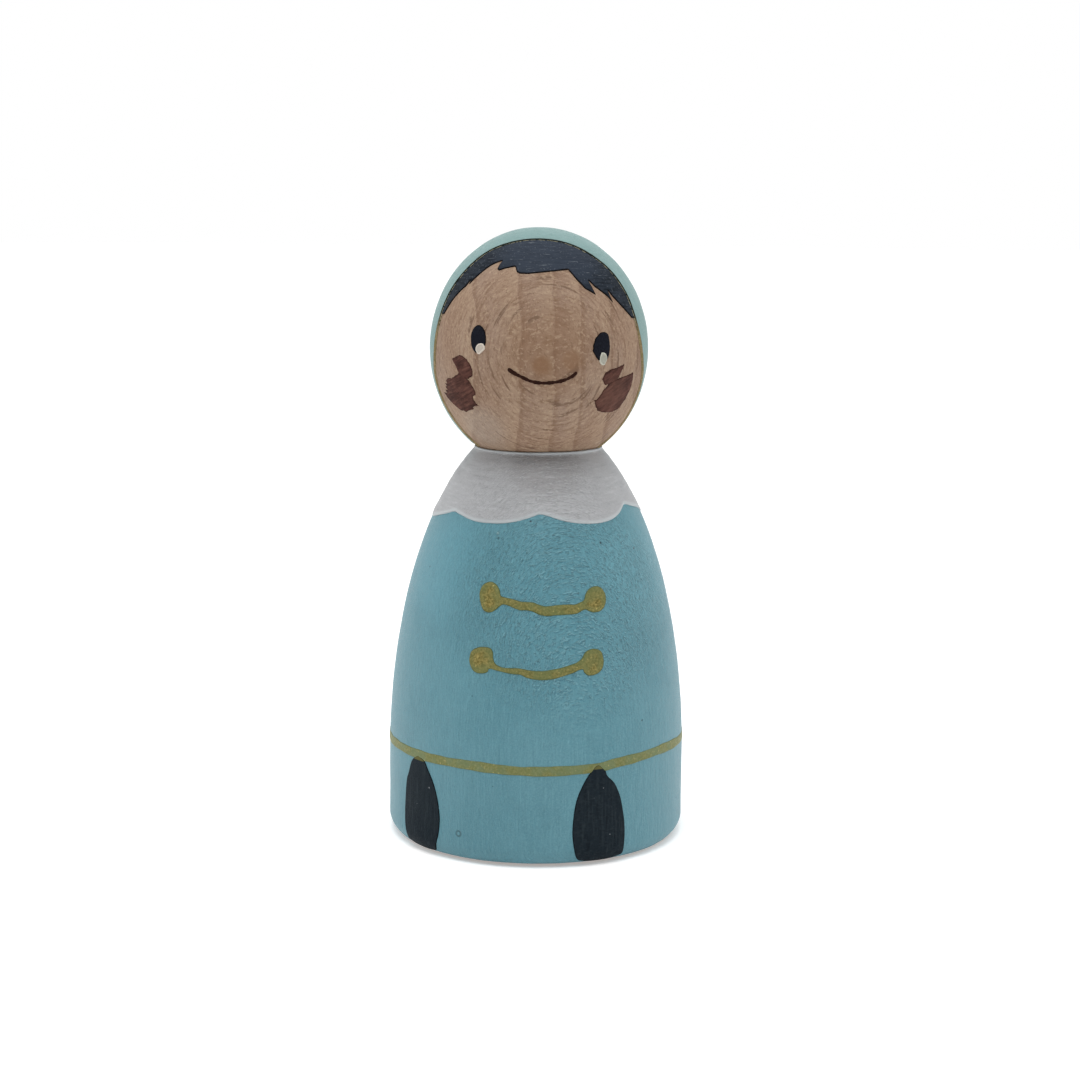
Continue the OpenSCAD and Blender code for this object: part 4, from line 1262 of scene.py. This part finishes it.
def ragged(loop, far, seed):
    """The same loop with the ragged edge of a dry brush: seeded ripples push its points both ways."""
    spot = np.stack([loop[:, 0], loop[:, 0] * 0, loop[:, 1]], -1)
    return loop + far * np.stack([ripple(spot, 1.5, seed), ripple(spot, 1.5, seed + 1)], -1)


def cheeks():
    """Two strokes of a dry brush on each cheek, with ragged edges."""
    rim = (0.04, 0.1, 0.18)
    for side, strokes, seed in (("right", RIGHT_CHEEK, 71), ("left", LEFT_CHEEK, 72)):
        loops = [ragged(sharp_loop(stroke, head_plane, 0.12), 0.05, seed) for stroke in strokes]
        lift = dab_lift(CHEEK_T, width=0.1, seed=seed, ridge=0.02)
        add_dab(f"{side}_cheek", loops, from_head_plane, "cheek_paint", "cheek", lift, rim, spacing=0.2)


def clasps():
    """Each clasp is one outline: two dots and the cord that hangs between them."""
    rim = (0.04, 0.1, 0.18, 0.28)
    for place, outline, seed in (("upper", UPPER_CLASP, 81), ("lower", LOWER_CLASP, 82)):
        loop = smooth_loop(outline, body_plane, 0.11)
        lift = dab_lift(GOLD_T, width=0.2, seed=seed, ridge=0.02, base=COAT_T)
        add_dab(f"{place}_clasp", [loop], from_body_plane, "gold_paint", "gold", lift, rim, spacing=0.2)


# Half of a boot's sole from its side: shares of the width, and depths below the lower side's end
SOLE = ((0.08, 0.3), (0.3, 0.6))

# How far down from its tip the hem's gold shows through a boot
TIP_LENGTH = 0.55


def boots():
    """Each boot's two drawn sides, closed by a low curve where the base's rounding hides it."""
    rim = (0.04, 0.1, 0.2)
    for side, sides, seed in (("right", RIGHT_BOOT, 91), ("left", LEFT_BOOT, 92)):
        left, right = (body_plane(seen(part)) for part in sides)
        low, wide = min(left[-1, 1], right[-1, 1]), right[-1, 0] - left[-1, 0]
        sole = [[left[-1, 0] + share * wide, low - deep] for share, deep in SOLE]
        sole += [[right[-1, 0] - share * wide, low - deep] for share, deep in reversed(SOLE)]
        loop = even(drawn(np.concatenate([left, sole, right[::-1]]), 6, closed=True), 0.16, closed=True)
        lift = dab_lift(BOOT_T, width=0.16, seed=seed, ridge=0.015, base=COAT_T)
        tip = max(seen(part)[0, 2] for part in sides) - TIP_LENGTH
        add_dab(
            f"{side}_boot", [loop], from_body_plane, "boot_paint", "boot", lift, rim, spacing=0.32,
            tip_height=tip,
        )


turned_blank()
coat()
collar()
hood()
hood_trim()
hair()
eyes()
smile()
cheeks()
clasps()
hem_line()
boots()


# Studio

# The floor's radius in metres, its points, and how many millimetres it lies below the base
FLOOR_R, FLOOR_POINTS, FLOOR_CLEAR = 3, 96, 0.02

# Its colour, its glow for every ray, and what the rays that show it see besides
FLOOR_COLOUR, FLOOR_GLOW, FLOOR_SHOWN = (240, 240, 240), 0.22, 0.1


def floor():
    """A wide white disc, just clear of the base, that shows pure white to the camera where no shadow
    falls. From below the doll's base is seen through it."""
    turned = np.linspace(0, 2 * math.pi, FLOOR_POINTS, endpoint=False)
    ring = [FLOOR_R * np.sin(turned), -FLOOR_R * np.cos(turned), 0 * turned - FLOOR_CLEAR * MM]
    mesh = bpy.data.meshes.new("floor")
    mesh.from_pydata(np.stack(ring, -1).tolist(), [], [list(range(FLOOR_POINTS))])
    f = Finish("floor_white", 1.0, 0.0)
    f.done(linear(FLOOR_COLOUR))
    glow, both, clear = f.node("Emission"), f.node("AddShader"), f.node("MixShader")
    f.feed(glow.inputs["Strength"], f.calc("MULTIPLY_ADD", f.shown_rays(), FLOOR_SHOWN, FLOOR_GLOW))
    f.feed(both.inputs[0], f.shader.outputs[0])
    f.feed(both.inputs[1], glow.outputs[0])
    f.feed(clear.inputs[0], f.node("NewGeometry").outputs["Backfacing"])
    f.feed(clear.inputs[1], both.outputs[0])
    f.feed(clear.inputs[2], f.node("BsdfTransparent").outputs[0])
    f.feed(f.tree.nodes["Material Output"].inputs["Surface"], clear.outputs[0])
    mesh.materials.append(f.material)
    ground = bpy.data.objects.new("floor", mesh)
    bpy.context.scene.collection.objects.link(ground)


# Between which two values a direction's part to the back, and its part upwards, falls where the white
# box opens. Then the strength of the box's walls and of the room in front
OPEN_FRONT, OPEN_BELOW = (-0.15, -0.54), (0.95, 0.55)
WALL_LIGHT, ROOM_LIGHT = 1.14, 0.04
WHITE = (1, 1, 1, 1)


def sky():
    """White all round for the camera and in reflections. For light, a white box that is open to a dim
    room in front: the strength goes from the walls' to the room's by the share of the opening, which
    is the share to the front times the share below the top."""
    world = bpy.data.worlds.new("studio")
    bpy.context.scene.world = world
    world.use_nodes = True
    net = Net(world.node_tree)
    split = net.node("SeparateXYZ")
    net.feed(split.inputs[0], net.node("TexCoord").outputs["Generated"])
    opening = net.times(net.ramp(split.outputs[1], *OPEN_FRONT), net.ramp(split.outputs[2], *OPEN_BELOW))
    lit, shown = net.tree.nodes["Background"], net.node("Background")
    for background in (lit, shown):
        background.inputs["Color"].default_value = WHITE
    net.feed(lit.inputs["Strength"], net.ramp(opening, 0, 1, WALL_LIGHT, ROOM_LIGHT, kind="LINEAR"))
    pick = net.node("MixShader")
    net.feed(pick.inputs[0], net.shown_rays())
    net.feed(pick.inputs[1], lit.outputs[0])
    net.feed(pick.inputs[2], shown.outputs[0])
    net.feed(net.tree.nodes["World Output"].inputs["Surface"], pick.outputs[0])


def softbox(name, at, aim, size, watts):
    """A round lamp that stands at one place and shines towards another."""
    lamp = bpy.data.lights.new(name, "AREA")
    lamp.shape, lamp.size, lamp.energy = "DISK", size, watts
    box = bpy.data.objects.new(name, lamp)
    bpy.context.scene.collection.objects.link(box)
    box.location = at
    box.rotation_mode = "QUATERNION"
    box.rotation_quaternion = (Vector(aim) - Vector(at)).to_track_quat("-Z", "Y")


floor()
sky()
softbox("top_light", at=(-0.02, -0.15, 0.5), aim=(0, 0, 0.04), size=0.25, watts=1.06)
bpy.context.scene.view_settings.view_transform = "Standard"
